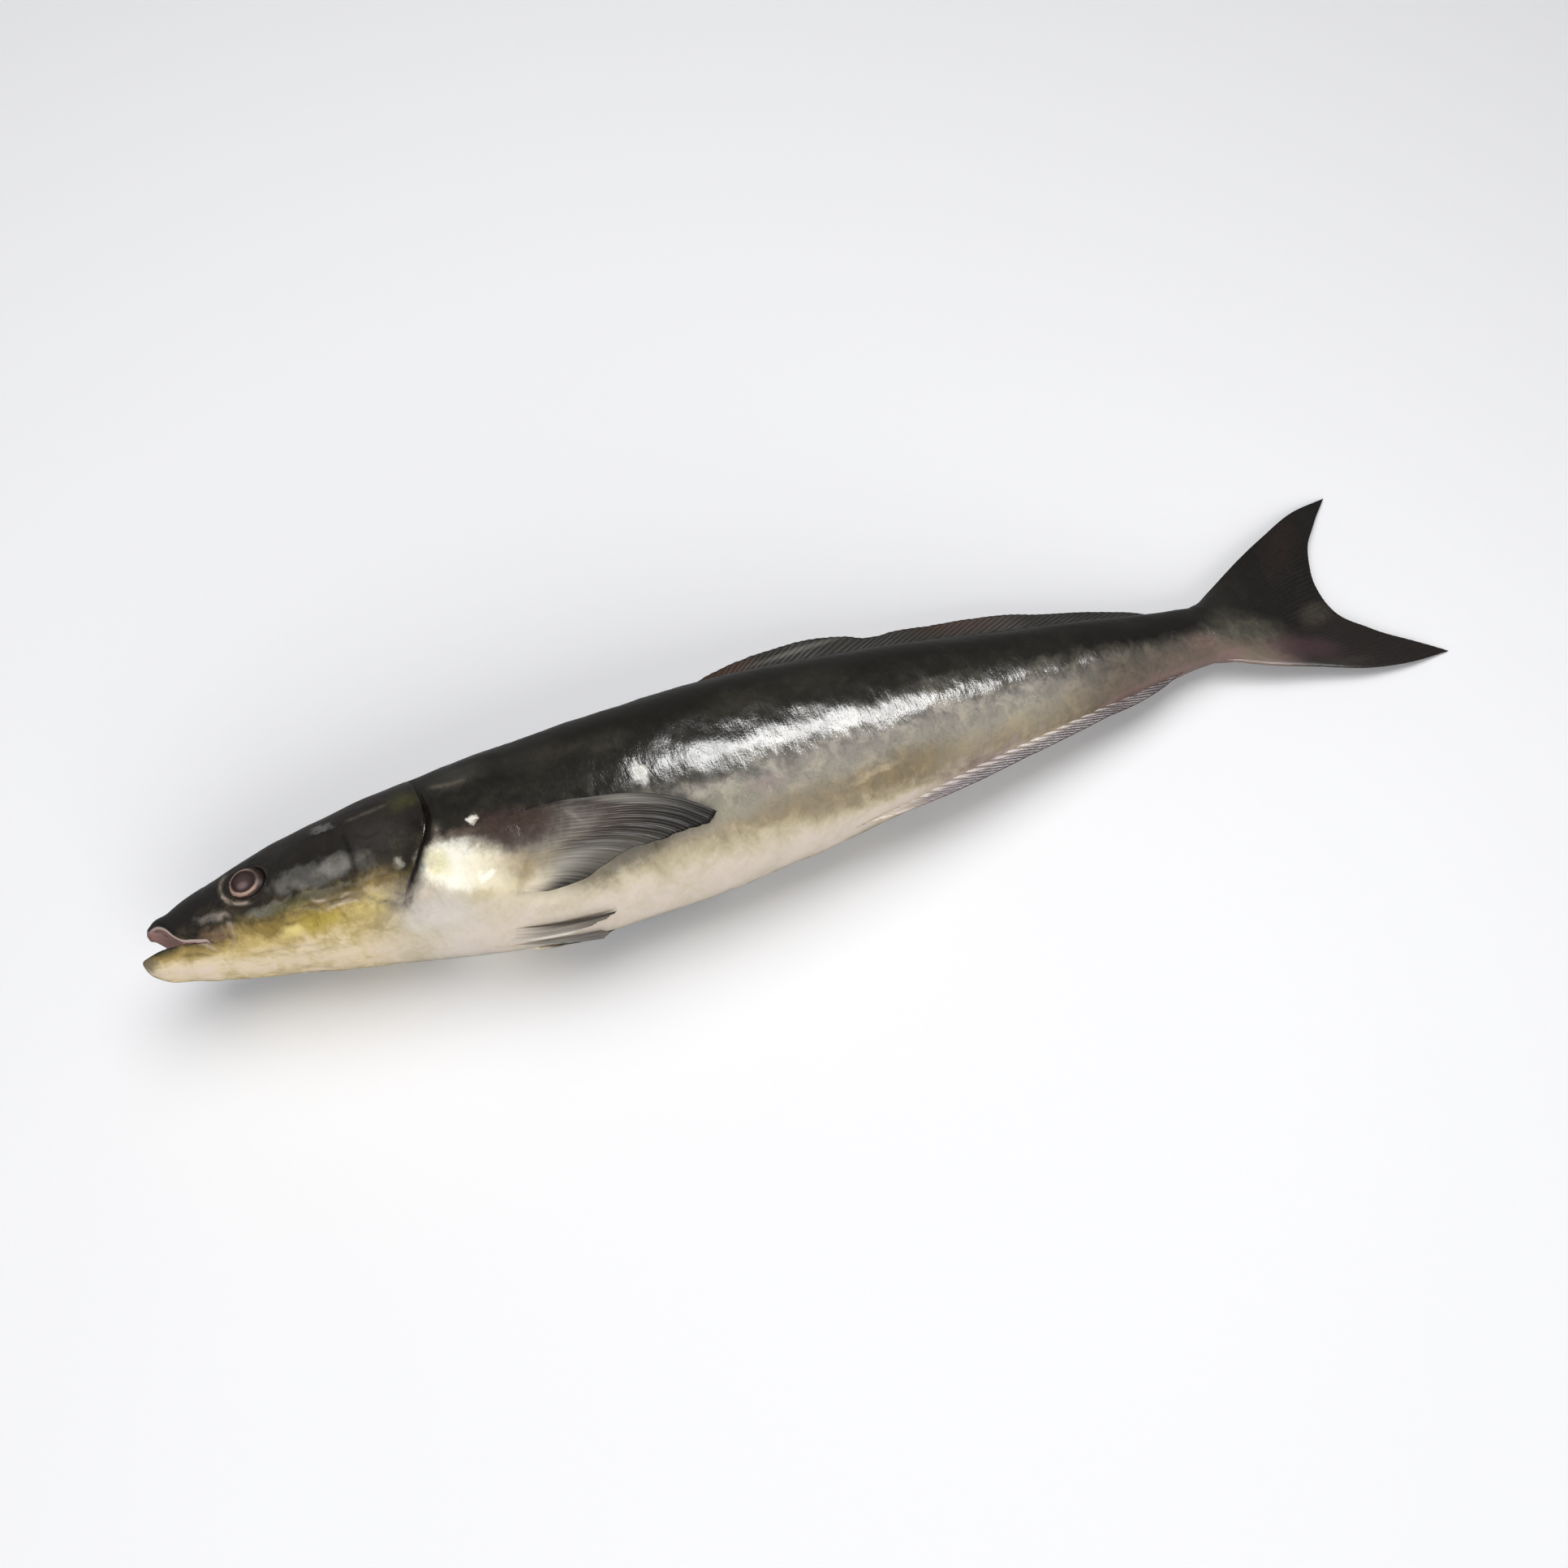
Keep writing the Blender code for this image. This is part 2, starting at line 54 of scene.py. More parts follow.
# At each x: level of the back, level of the belly, half width, and level of the widest place
BODY = [
    (0, 0.9, -0.6, 5.0, 0), (8, 10.4, -8.4, 11.6, -1), (20, 16.4, -12.0, 18.8, -3),
    (40, 22.8, -16.9, 26, -5), (70, 30.3, -25.8, 33, -5), (100, 34.6, -34.2, 37, -3),
    (135, 37.8, -44.1, 39.5, 0), (180, 39.7, -54.2, 41, 3), (230, 41.1, -56.7, 41, 5),
    (290, 42.2, -52.6, 38, 5), (350, 38.7, -43.0, 33, 4), (410, 31.8, -31.4, 26, 3),
    (470, 24.7, -22.0, 18.5, 2), (520, 18.9, -14.9, 11, 1), (550, 18.2, -14.1, 7.5, 0)]
BACK_ROUNDNESS, BELLY_ROUNDNESS, SNOUT_ROUND = 2.15, 2.2, 3.5
MOUTH_CORNER, LIP_SLOPE, LIP_FADE = 34.0, -0.38, 60.0
GAPE_LENGTH, GAPE_SKIN_REACH, GAPE_POWER = 24.0, 0.6, 1.4
UPPER_JAW_BACK, UPPER_JAW_LIFT, LOWER_JAW_DROP = 5.6, 9.2, 3.0
LIP_GAP, LIP_ROLL, MOUTH_HOLLOW, LIP_CUT, FAR_LIP_LIFT = 0.6, 1.1, 0.45, 3.0, 5.0
CHIN_BLUNT, CHIN_REACH = 1.5, 4.5
GILL_EDGE, GILL_REACH, GILL_BEND_BELOW, GILL_BEND_ABOVE = 134.0, 72.0, 28.0, 9.0
GILL_STEP, GILL_STEP_LENGTH = 1.9, 24.0
# Ring angles where the gill cover's free edge begins, is full, is full still, and ends
GILL_WINDOW = (0.55, 1.05, 2.04, 2.46)
# The free edge of the gill cover: steps past the edge, forwards under it, and down
GILL_FOLD = [(0.25, 0.1, 0.25), (0.4, -0.1, 0.7), (0.45, -1.3, 1.0), (0.5, -2.3, 1.6),
             (0.55, -1.9, 2.3), (0.7, -0.4, 2.6), (1.2, 0.2, 2.5), (2.2, 0.3, 2.2)]
# Edges of the tail as (share of the way, x, y)
TAIL_ROOT = 528.0
TAIL_UPPER_EDGE = [(0, 528, 18.6), (0.06, 536, 21.2), (0.14, 545, 26.2), (0.38, 573, 42),
                   (0.57, 594, 52.5), (0.8, 620, 64.2), (1, 643, 68.5)]
TAIL_LOWER_EDGE = [(0, 528, -14.6), (0.2, 552, -25.5), (0.4, 575, -33.5), (0.62, 602, -42.5),
                   (0.8, 624, -45.5), (1, 648.6, -45)]
TAIL_TRAILING_EDGE = [(0, 643, 68.5), (0.14, 628, 54), (0.36, 611, 33), (0.5, 603.5, 13),
                      (0.62, 604, -4), (0.78, 616, -19), (1, 648.6, -45)]
TAIL_FLESH_REACH, TAIL_FLESH_NARROW = 0.42, 0.10
EYE_CENTRE, EYE_RADIUS, EYE_DEPTH, EYE_BULGE = (55.2, 3.0), 8.2, 5.4, 1.7
COLUMNS = 48


def curves(table):
    """Curves of (x, value) points, one for each column of a table after its x."""
    return [[(row[0], row[i]) for row in table] for i in range(1, len(table[0]))]


def curve(points, at):
    """Values of the smooth curve through (place, value) points."""
    places, values = np.array(points, float).T
    slopes = np.gradient(values, places)
    i = np.clip(np.searchsorted(places, at, side="right") - 1, 0, len(places) - 2)
    gap = places[i + 1] - places[i]
    t = np.clip((at - places[i]) / gap, 0, 1)
    start = (1 + 2 * t) * (1 - t) ** 2 * values[i] + t * (1 - t) ** 2 * gap * slopes[i]
    return start + t * t * (3 - 2 * t) * values[i + 1] + t * t * (t - 1) * gap * slopes[i + 1]


def curve_point(points, at):
    """Points (x, y, 0) of the smooth curve through (share, x, y) points."""
    x, y = (curve(line, np.asarray(at, float)) for line in curves(points))
    return np.stack([x, y, np.zeros_like(x)], -1)


def ease(t):
    t = np.clip(t, 0.0, 1.0)
    return t * t * (3 - 2 * t)


def place(points, floor=0.0):
    """Places on the table, in metres, of points on the fish's axis."""
    x, y, z = np.moveaxis(points, -1, 0)
    share = np.maximum(x - DROOP_START, 0.0) / (DROOP_END - DROOP_START)
    height = np.maximum(z + AXIS_HEIGHT - AXIS_DROOP * share ** DROOP_POWER, floor)
    return np.stack([x - REST_POINT[0], y - REST_POINT[1], height], -1) * MM


BACK, BELLY, HALF_WIDTH, WIDEST_LEVEL = curves(BODY)


def section_sizes(x):
    near = np.clip(x / SNOUT_ROUND, 0, 1)
    round_off = np.sqrt(1 - (1 - near) ** 2)
    widest = curve(WIDEST_LEVEL, x)
    back = widest + (curve(BACK, x) - widest) * round_off
    belly = widest + (curve(BELLY, x) - widest) * round_off
    return back, belly, curve(HALF_WIDTH, x) * round_off, widest


def section_point(x, angle):
    """Points of the body's cross-sections, angle 0 at the back and pi at the belly."""
    x, angle = np.broadcast_arrays(np.asarray(x, float), angle)
    back, belly, half_width, widest = section_sizes(x)
    upper = angle <= math.pi / 2
    power = np.where(upper, 2 / BACK_ROUNDNESS, 2 / BELLY_ROUNDNESS)
    reach = np.where(upper, back - widest, belly - widest)
    y = widest + reach * np.abs(np.cos(angle)) ** power
    return np.stack([x, y, half_width * np.abs(np.sin(angle)) ** power], -1)


def flank(x, y):
    """Distance of the body's side from the middle plane."""
    back, belly, half_width, widest = section_sizes(x)
    reach = np.where(y > widest, back - widest, belly - widest)
    power = np.where(y > widest, BACK_ROUNDNESS, BELLY_ROUNDNESS)
    share = np.clip((y - widest) / reach, 0, 1)
    return half_width * (1 - share ** power) ** (1 / power)


def column_angle(x, column):
    """Ring angles of the columns; the middle column follows the lip line, then the flank."""
    at = np.minimum(x, MOUTH_CORNER)
    _, belly, _, widest = section_sizes(at)
    share = np.clip((LIP_SLOPE * at - widest) / (belly - widest), 0, 1)
    middle = math.pi / 2 + np.arcsin(share ** (BELLY_ROUNDNESS / 2))
    middle = middle + (math.pi / 2 - middle) * ease((x - MOUTH_CORNER) / LIP_FADE)
    part = np.asarray(column) / COLUMNS
    return np.where(part <= 1, middle * part, middle + (math.pi - middle) * (part - 1))


def both_sides(points):
    """Rows from the middle line to the left, made whole with their mirror image."""
    return np.concatenate([points[..., :0:-1, :] * (1, 1, -1), points], -2)


def closed_ring(points):
    """Rings from the back to the belly on the left, closed round the right."""
    return np.concatenate([points, points[..., -2:0:-1, :] * (1, 1, -1)], -2)


def open_jaw(points, x, upper, share):
    """A jaw's points in the open mouth; share is 1 at the lip."""
    reach = GAPE_LENGTH * (GAPE_SKIN_REACH + (1 - GAPE_SKIN_REACH) * share)
    gape = np.maximum(1 - x / reach, 0.0) ** GAPE_POWER
    roll = LIP_ROLL * np.minimum(1.0, points[..., 2] / 6)
    roll = roll * (1 - ease((x - MOUTH_CORNER + 8) / 8)) * np.maximum(share * 6 - 5, 0) ** 2
    points = points - roll[..., None] * (0, 0, 1)
    if upper:
        cut = LIP_CUT * share ** 3 * ease(x / 3) * (1 - ease((x - 10) / 12))
        return points + np.stack(
            [UPPER_JAW_BACK * gape, UPPER_JAW_LIFT * gape + cut, 0 * cut], -1)
    drop = LOWER_JAW_DROP * gape + LIP_GAP * (1 - ease((x - MOUTH_CORNER + 6) / 6))
    blunt = CHIN_BLUNT * np.maximum(1 - x / CHIN_REACH, 0.0) ** 2
    return points + np.stack([blunt, -drop, 0 * drop], -1)


def jaw_rows(x, upper):
    """Outer and inner skin of one jaw, from the middle line to the left lip."""
    step, x = np.arange(COLUMNS + 1), x[:, None]
    points = section_point(x, column_angle(x, step if upper else 2 * COLUMNS - step))
    outer = open_jaw(points, x + 0 * step, upper, step / COLUMNS + 0 * x)
    lip, middle = outer[:, -1:], outer[:, :1]
    depth = MOUTH_HOLLOW * (1 - ease(x / MOUTH_CORNER)) ** 0.5
    across = np.sin(math.pi / 2 * step / COLUMNS)
    inner = lip + (middle - lip) * (depth * (1 - across * across))[..., None]
    inner[..., 2] = lip[..., 2] * across
    return outer, inner


def gill_window(angle):
    """How far the gill cover's edge stands free, which it does on the flank only."""
    start, full, still_full, end = GILL_WINDOW
    return ease((angle - start) / (full - start)) * ease((end - angle) / (end - still_full))


def body_rings(x, shift=0.0, extra=0.0):
    """Rings of the skin at x, with the gill cover's bent edge and the step behind it."""
    x = np.asarray(x, float)[:, None]
    angle = column_angle(x, np.arange(2 * COLUMNS + 1))
    near = ease(1 - np.abs(x - GILL_EDGE) / GILL_REACH)
    below = GILL_BEND_BELOW * np.clip(np.sin(angle - math.pi / 2), 0, 1) ** 1.2
    above = GILL_BEND_ABOVE * np.clip(1 - angle / (math.pi / 2), 0, 1) ** 2
    bend = near * np.where(angle > math.pi / 2, below, above)
    window = gill_window(angle)
    points = section_point(x - bend + shift * window, angle)
    past = ease((x - GILL_EDGE - 1) / GILL_STEP_LENGTH)
    sink = np.where(x < GILL_EDGE + 0.2, 0.0, GILL_STEP * window * (1 - past))
    sink = np.where(extra > 0, extra * window, sink)
    inward = -points
    inward[..., 0], inward[..., 1] = 0, curve(WIDEST_LEVEL, points[..., 0]) - points[..., 1]
    inward /= np.maximum(np.linalg.norm(inward, axis=-1, keepdims=True), 1e-6)
    return points + inward * sink[..., None]


def tail_sheet(t, v):
    """Middle plane of the tail fin: t from root to trailing edge, v from upper to lower edge."""
    t, v = np.broadcast_arrays(t, v)
    upper, lower = curve_point(TAIL_UPPER_EDGE, t), curve_point(TAIL_LOWER_EDGE, t)
    root = section_point(TAIL_ROOT, column_angle(TAIL_ROOT, v * 2 * COLUMNS)) * (1, 1, 0)
    trailing = curve_point(TAIL_TRAILING_EDGE, v)
    t, v = t[..., None], v[..., None]
    near_end, far_end = (
        curve_point(TAIL_UPPER_EDGE, end) * (1 - v) + curve_point(TAIL_LOWER_EDGE, end) * v
        for end in (0, 1))
    return (upper * (1 - v) + lower * v + root * (1 - t) + trailing * t
            - near_end * (1 - t) - far_end * t)


def tail_flesh_rings(t):
    """Rings of the tail's fleshy root, which thins out between the fin's rays."""
    column, t = np.arange(2 * COLUMNS + 1), t[:, None]
    v = column / (2 * COLUMNS)
    points = tail_sheet(t, 0.5 + (v - 0.5) * (1 - TAIL_FLESH_NARROW * ease(t / 0.12)))
    root = section_point(TAIL_ROOT, column_angle(TAIL_ROOT, column))
    points[..., 2] = root[:, 2] * (1 - ease(t / TAIL_FLESH_REACH))
    return points


WAVES = 9


def wobble(points, size, seed):
    """Smooth uneven values around 0, with bumps of about the given size."""
    rng = np.random.default_rng(seed)
    total = 0
    for _ in range(WAVES):
        way = rng.normal(size=3)
        way *= 2 * math.pi / (size * 2 * rng.uniform(0.7, 1.5) * np.linalg.norm(way))
        total = total + np.sin(points @ way + rng.uniform(0, 2 * math.pi))
    return total / math.sqrt(WAVES)


def bell(distance, width):
    """1 at no distance, falling away softly within the width."""
    return np.exp(-(distance / width) ** 2)


def dome(x, y, centre, long, wide, turn=0.0):
    """Soft rise round a place, 1 at its middle."""
    c, s = math.cos(math.radians(turn)), math.sin(math.radians(turn))
    dx, dy = x - centre[0], y - centre[1]
    return bell(dx * c + dy * s, long) * bell(dy * c - dx * s, wide)


def fold(x, y, points, width):
    """Soft line through points, 1 along its middle, fading out at its ends."""
    at = np.linspace(0, len(points) - 1, 40)
    line_x, line_y, _ = curve_point([(i, *p) for i, p in enumerate(points)], at).T
    strength = np.minimum(1, np.minimum(at, len(points) - 1 - at) * 3)
    best = np.zeros_like(x)
    for px, py, s in zip(line_x, line_y, strength):
        best = np.maximum(best, s * bell(np.hypot(x - px, y - py), width))
    return best


# Height on the flank as the eye sees it, from above and in front: back and side in one measure
SEEN_Y, SEEN_Z, FAR_SIDE = 0.839, 0.545, 0.4
# Lines of the head, darker and paler than the skin: (strength, width, points of x and seen
# height).
# The dark lines are painted shade in the head's grooves and gill slit, the second of them a wide
# painted shadow on the gill cover under its edge; some pale lines are painted glints.
HEAD_END = 165.0
DARK_LINES = [
    (1.0, 1.9, [(134, 26), (133.4, 19), (129.5, 11.5), (125.8, 5), (121.5, -1.5), (118, -9),
                (114, -13)]),
    # painted shadow on the gill cover, under its free edge
    (0.75, 4.0, [(130, 22), (127, 12), (122.5, 4), (117.5, -3), (113, -9)]),
    (0.8, 1.2, [(99, 26), (99.8, 18), (99.2, 9), (96, 3)]),
    (0.5, 0.8, [(104, 20), (106, 13), (104.5, 7)]),
    (0.8, 0.8, [(9, 12.5), (13, 13.4), (17, 10.8), (20.5, 6.8), (25, 4.4), (31, 3.6), (38, 4.6)]),
    (1.0, 1.0, [(42, -0.5), (42, -3.4), (40.6, -6)]),
    (0.6, 0.6, [(29, 2.4), (35, 0.6), (40, 0.4)]),
    (0.6, 0.6, [(31, 0), (36, -2.6), (40, -3)]),
    (0.5, 0.7, [(19, -3.2), (26, -4.6), (32, -7.6)]),
    (0.7, 1.2, [(62, 17), (64.5, 12), (62, 7)]),
    (0.5, 1.5, [(66, 5), (76, 4.4), (86, 2.6), (94, 3.4)]),
    (0.45, 0.9, [(48, 2), (58, 0), (68, -1)]),
    (0.4, 0.8, [(100, -3), (104, -7), (102, -12)]),
    (0.5, 0.9, [(103, 24), (109, 20), (115, 22)]),
    (0.45, 0.8, [(108, 14.5), (114, 12), (120, 14)]),
    (0.4, 0.8, [(104, 4), (111, 3), (117, 5)]),
    (0.25, 0.7, [(48, -12), (62, -14), (78, -17)]),
    (0.25, 0.7, [(60, -18), (76, -19.5), (90, -22)]),
    (0.5, 0.9, [(80, 27), (88, 28), (97, 27.5)]),
    (0.7, 0.8, [(84, -0.6), (90, -1.6), (98, -2.6)]),
    (0.7, 0.8, [(91, 4.6), (96, 2.6), (101, 0.4)]),
    (0.7, 0.9, [(108, -2), (113, -4.6), (116, -9)]),
    (0.7, 0.8, [(103, -6.6), (109, -8.6), (112, -13)]),
    (0.6, 0.7, [(74, 1.4), (79, -0.6), (82, -3)]),
    (0.5, 0.7, [(64, -3.4), (70, -4.4), (76, -4)]),
    (0.5, 0.9, [(101, 17), (107, 16.4), (111, 18.6)]),
    (0.5, 0.8, [(70, 12), (72.6, 8.4), (71, 5.4)]),
]
PALE_LINES = [
    (0.95, 0.65, [(47, 24.5), (43.8, 20.8), (43.2, 17.4), (44.4, 14.2), (47, 11.8), (50.4, 10.4),
                  (54, 10)]),
    (0.9, 0.7, [(27.5, 1.5), (31, -1.8), (34.5, -5.8)]),
    (0.7, 0.7, [(42.8, 5.4), (43.2, 2), (42.8, -2), (41, -6.4)]),
    (0.25, 0.6, [(31, 8.6), (36, 9.4), (41, 9.6)]),
    (0.6, 0.8, [(39, 7), (42.5, 8.6), (44.5, 6)]),
    # The next three lines are painted glints on the cheek
    (0.8, 0.7, [(78.5, 3.4), (81, 1.2), (84.5, 0.8)]),
    (0.85, 0.7, [(82.5, -3.6), (88, -3), (93, -2.6), (97, -4.4)]),
    (0.6, 0.6, [(90, -0.6), (92.5, 0.4), (95, 0)]),
    (0.6, 0.9, [(100, 1), (104, -1.5), (108, -1)]),
    (0.6, 1.2, [(137.5, 18), (134.5, 8), (130.5, 1), (126, -6), (121, -13)]),
    (0.2, 0.6, [(101, 30), (110, 30.6), (121, 31.6)]),
    (0.2, 0.9, [(139, 33), (147, 31.5), (157, 31)]),
    (0.35, 0.8, [(44, -10), (58, -12.5), (74, -15.5)]),
    (0.3, 0.9, [(56, -17), (76, -20), (96, -21)]),
]
# Swellings and hollows of cheek, gill cover, brow and fin root: (height, place, long, wide, turn)
SWELLINGS = [
    (0.85, (82, -9), 17, 7, -12), (0.6, (115, 2), 12, 13, 0), (0.5, (46, 10), 14, 6, 20),
    (-0.5, (68, 14), 8, 5, 0), (2.6, (160, -24), 19, 10, -32), (1.4, (148, -50), 12, 5, 0)]
# Folds behind the gill cover, and the lateral line: (height, width, points of x and y)
FOLDS = [
    (0.6, 2.2, [(139, 14), (138.5, 0), (134, -14), (124, -27)]),
    (-0.3, 1.5, [(143, 12), (142, -2), (137.5, -16), (128, -30)]),
    (0.12, 0.9, [(140, 13), (165, 8), (210, 3), (280, 1), (400, 0), (520, 0)])]
NOSTRILS = [((35, -4.6), 1.2), ((40.8, -6.2), 1.5)]
EYE_SOCKET, SOCKET_SLOPE, SOCKET_DEPTH = 9.0, 1.9, 3.4


def seen_height(y, z):
    return SEEN_Y * y + SEEN_Z * np.maximum(z, -FAR_SIDE * z)


def drawn_lines(points, lines):
    """Strength of a set of lines at each point of the head."""
    x, seen = points[:, 0], seen_height(points[:, 1], points[:, 2])
    drawn, near = np.zeros_like(x), x < HEAD_END
    for strength, width, way in lines:
        drawn[near] = np.maximum(drawn[near], strength * fold(x[near], seen[near], way, width))
    return drawn


def skin_relief(points):
    """How far the skin stands out from the plain body, in millimetres."""
    x, y = points[:, 0], points[:, 1]
    rise = 0.30 * wobble(points, 26, 1) + 0.10 * wobble(points, 7, 2)
    rise += 0.05 * wobble(points * (3, 1, 1), 4, 3) * ease((x - 135) / 20)
    for height, *shape in SWELLINGS:
        rise += height * dome(x, y, *shape)
    for height, width, way in FOLDS:
        rise += height * fold(x, y, way, width)
    # The jaw bone's plate, and the lines and wrinkles of the head
    rise += 0.9 * dome(x, seen_height(y, points[:, 2]), (36.5, 0), 6.5, 3.6, -10)
    rise += 0.22 * drawn_lines(points, PALE_LINES) - 0.45 * drawn_lines(points, DARK_LINES)
    wrinkled = ease((132 - x) / 10) * ease((x - 24) / 12) * ease((30 - np.abs(y)) / 20)
    rise -= 0.22 * bell(wobble(points, 7, 5), 0.22) * wrinkled
    rise -= 0.14 * bell(wobble(points, 4, 6), 0.3) * wrinkled
    for nostril, size in NOSTRILS:
        away = np.hypot((x - nostril[0]) / 1.25, y - nostril[1]) / size
        rise += 0.35 * bell(away - 1.5, 0.5) - 1.3 * bell(away, 1)
    # A fold round the eye, and the socket
    eye = np.hypot(x - EYE_CENTRE[0], y - EYE_CENTRE[1])
    rise += 0.45 * bell(eye - 10.4, 0.8) * ease((12 - x + EYE_CENTRE[0] - y) / 10)
    rise -= 0.3 * bell(eye - 12.2, 0.8)
    rise -= SOCKET_DEPTH * ease((EYE_SOCKET - eye) / SOCKET_SLOPE)
    return rise * ease((x - 1) / 12)


def quads_between(shape, closed=False):
    """Quads between the rows of a grid of points."""
    index = np.arange(shape[0] * shape[1]).reshape(shape)
    ahead = np.roll(index, -1, 1) if closed else index[:, 1:]
    here = index if closed else index[:, :-1]
    return np.stack([here[:-1], ahead[:-1], ahead[1:], here[1:]], -1).reshape(-1, 4)


def join_grids(grids):
    """Points and quads of several grids, each given as its rows and whether they are rings."""
    points, quads, first = [], [], 0
    for rows, closed in grids:
        quads.append(first + quads_between(rows.shape[:2], closed))
        points.append(rows.reshape(-1, 3))
        first += len(points[-1])
    return np.concatenate(points), np.concatenate(quads)


def note(mesh, name, values):
    """Write a number or a place for each point of a mesh."""
    kind, key = ("FLOAT", "value") if values.ndim == 1 else ("FLOAT_VECTOR", "vector")
    held = mesh.attributes.new(name, kind, "POINT").data
    held.foreach_set(key, values.astype(np.float32).ravel())


def read_back(holder, key, width=3):
    """A mesh's places, normals or values as an array."""
    held = np.empty(len(holder) * width, np.float32)
    holder.foreach_get(key, held)
    return held.reshape(-1, width).astype(float)


def build_mesh(name, points, faces, values, weld=0.002):
    """Mesh on the fish's axis with its values, welded within a distance and facing outwards."""
    mesh = bpy.data.meshes.new(name)
    mesh.from_pydata(points.tolist(), [], [list(face) for face in faces])
    for key, held in values.items():
        note(mesh, key, held.ravel())
    bm = bmesh.new()
    bm.from_mesh(mesh)
    if weld:
        bmesh.ops.remove_doubles(bm, verts=bm.verts, dist=weld)
        bmesh.ops.dissolve_degenerate(bm, edges=bm.edges, dist=weld)
    bmesh.ops.recalc_face_normals(bm, faces=bm.faces)
    if bm.calc_volume(signed=True) < 0:
        bmesh.ops.reverse_faces(bm, faces=bm.faces)
    bm.to_mesh(mesh)
    bm.free()
    return mesh


# Limits between the back's dark skin, the grey, the tan and the belly's cream: on the trunk by y
# at each x, and on the head by seen height. The lip starts below its own limit.
TRUNK_LIMITS = curves([
    (90, -16, -22, -30), (110, -19, -25, -33), (125, -16, -20, -27), (140, -12.5, -16, -20),
    (160, -16, -24, -32), (200, -17, -31, -42), (240, -14, -33, -46), (270, -12, -31, -46.5),
    (300, -6, -27, -46.5), (350, -4, -24, -42), (400, -2, -20, -33), (450, -1, -14, -25),
    (500, 0, -8, -16), (528, 3, -6, -13), (560, 5, -8, -14)])
HEAD_LIMITS = [[(0, 40), (150, 40)], *curves([
    (0, 2, -0.6, -3), (20, 2, -1, -4.6), (34, 4, -2, -7), (50, 7, 0, -9), (65, 7, 0, -11),
    (80, 8, 1, -14), (95, 8, 0, -14), (110, 8, -2, -14), (150, 4, -8, -16)]),
    [(0, -10), (20, -13), (50, -24), (150, -46)]]
ZONE_SHARES = (0.4, 0.2, 0.2, 0.2)
LIP_LIMIT = [(0, 9), (8, 11.4), (13, 12.2), (16.5, 10.2), (19.5, 6.4), (22, 4.1), (26, 2.7),
             (34, 0.4)]


def zone_share(limits, x, level):
    """Share of the way through the colour limits, from 0 at the back to 1 at the belly."""
    levels, zone = [curve(line, x) for line in limits], 0.0
    for above, under, share in zip(levels, levels[1:], ZONE_SHARES):
        zone = zone + share * np.clip((above - level) / np.maximum(above - under, 0.5), 0, 1)
    return zone


def colour_zone(points):
    x, y, z = points.T
    head = zone_share(HEAD_LIMITS, x, seen_height(y, z))
    trunk = zone_share([BACK, *TRUNK_LIMITS, BELLY], x, y)
    return head + (trunk - head) * ease((x - 118) / 22)


def finish_piece(name, mesh, material, nodes=("fish",), lowest=0.0):
    """Put a mesh on the table, note its place on the fish, and tie it to the frame."""
    on_axis = read_back(mesh.vertices, "co")
    mesh.vertices.foreach_set("co", place(on_axis, lowest).ravel())
    note(mesh, "place", on_axis / 100)
    note(mesh, "zone", colour_zone(on_axis))
    mesh.shade_smooth()
    mesh.materials.append(material)
    piece = bpy.data.objects.new(name, mesh)
    bpy.context.scene.collection.objects.link(piece)
    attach(piece, "root")
    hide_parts(*nodes)


def stations(start, end, step):
    return np.linspace(start, end, max(int(round((end - start) / step)), 1) + 1)


# Rows of the body from the snout to the tail root, with their values for the paint
head_x = np.concatenate([[0.7, 1.1, 1.7, 2.5, 3.3], stations(4.2, MOUTH_CORNER, 0.85)])
grids, marks = [], []
for is_upper in (True, False):
    outer, inner = jaw_rows(head_x, is_upper)
    for rows, lining in ((outer, 0), (inner, 1), (np.stack([inner[0], outer[0]]), 0)):
        rows = both_sides(rows)
        far = np.clip(1 - np.arange(rows.shape[1]) / COLUMNS, 0, 1) ** 3
        rows[..., 1] += is_upper * FAR_LIP_LIFT * far * (1 - ease((rows[..., :1, 0] - 8) / 20))
        grids.append((rows, False))
        lip = (curve(LIP_LIMIT, rows[..., 0]) - seen_height(rows[..., 1], rows[..., 2])) / 4
        lip = is_upper * np.clip(lip, 0, 1) * (rows[..., 0] < MOUTH_CORNER - 1)
        marks.append([1 + 0 * lip, lip, lining + 0 * lip, 0 * lip])
cheek_x, edge_x = stations(MOUTH_CORNER, 128, 0.95), stations(128.6, GILL_EDGE, 0.6)
trunk_x, root_x = stations(136.8, 520, 1.55), stations(521.5, TAIL_ROOT, 1.3)[:-1]
rings = [body_rings(cheek_x), body_rings(edge_x)]
rings += [body_rings([GILL_EDGE + step], forward, depth) for step, forward, depth in GILL_FOLD]
rings += [body_rings(trunk_x), body_rings(root_x),
          tail_flesh_rings(stations(0, TAIL_FLESH_REACH, 0.014))]
ring_x = np.concatenate([cheek_x, edge_x, [GILL_EDGE + step for step, _, _ in GILL_FOLD],
                         trunk_x, root_x, np.full(len(rings[-1]), TAIL_ROOT)])
rings = closed_ring(np.concatenate(rings))
grids.append((rings, True))
ring_x = np.broadcast_to(ring_x[:, None], rings.shape[:2])
column = np.arange(rings.shape[1])
window = gill_window(math.pi * np.minimum(column, len(column) - column) / (2 * COLUMNS))
on_head = window * (ring_x < GILL_EDGE + 0.33) + (1 - window) * (1 - ease((ring_x - 112) / 34))
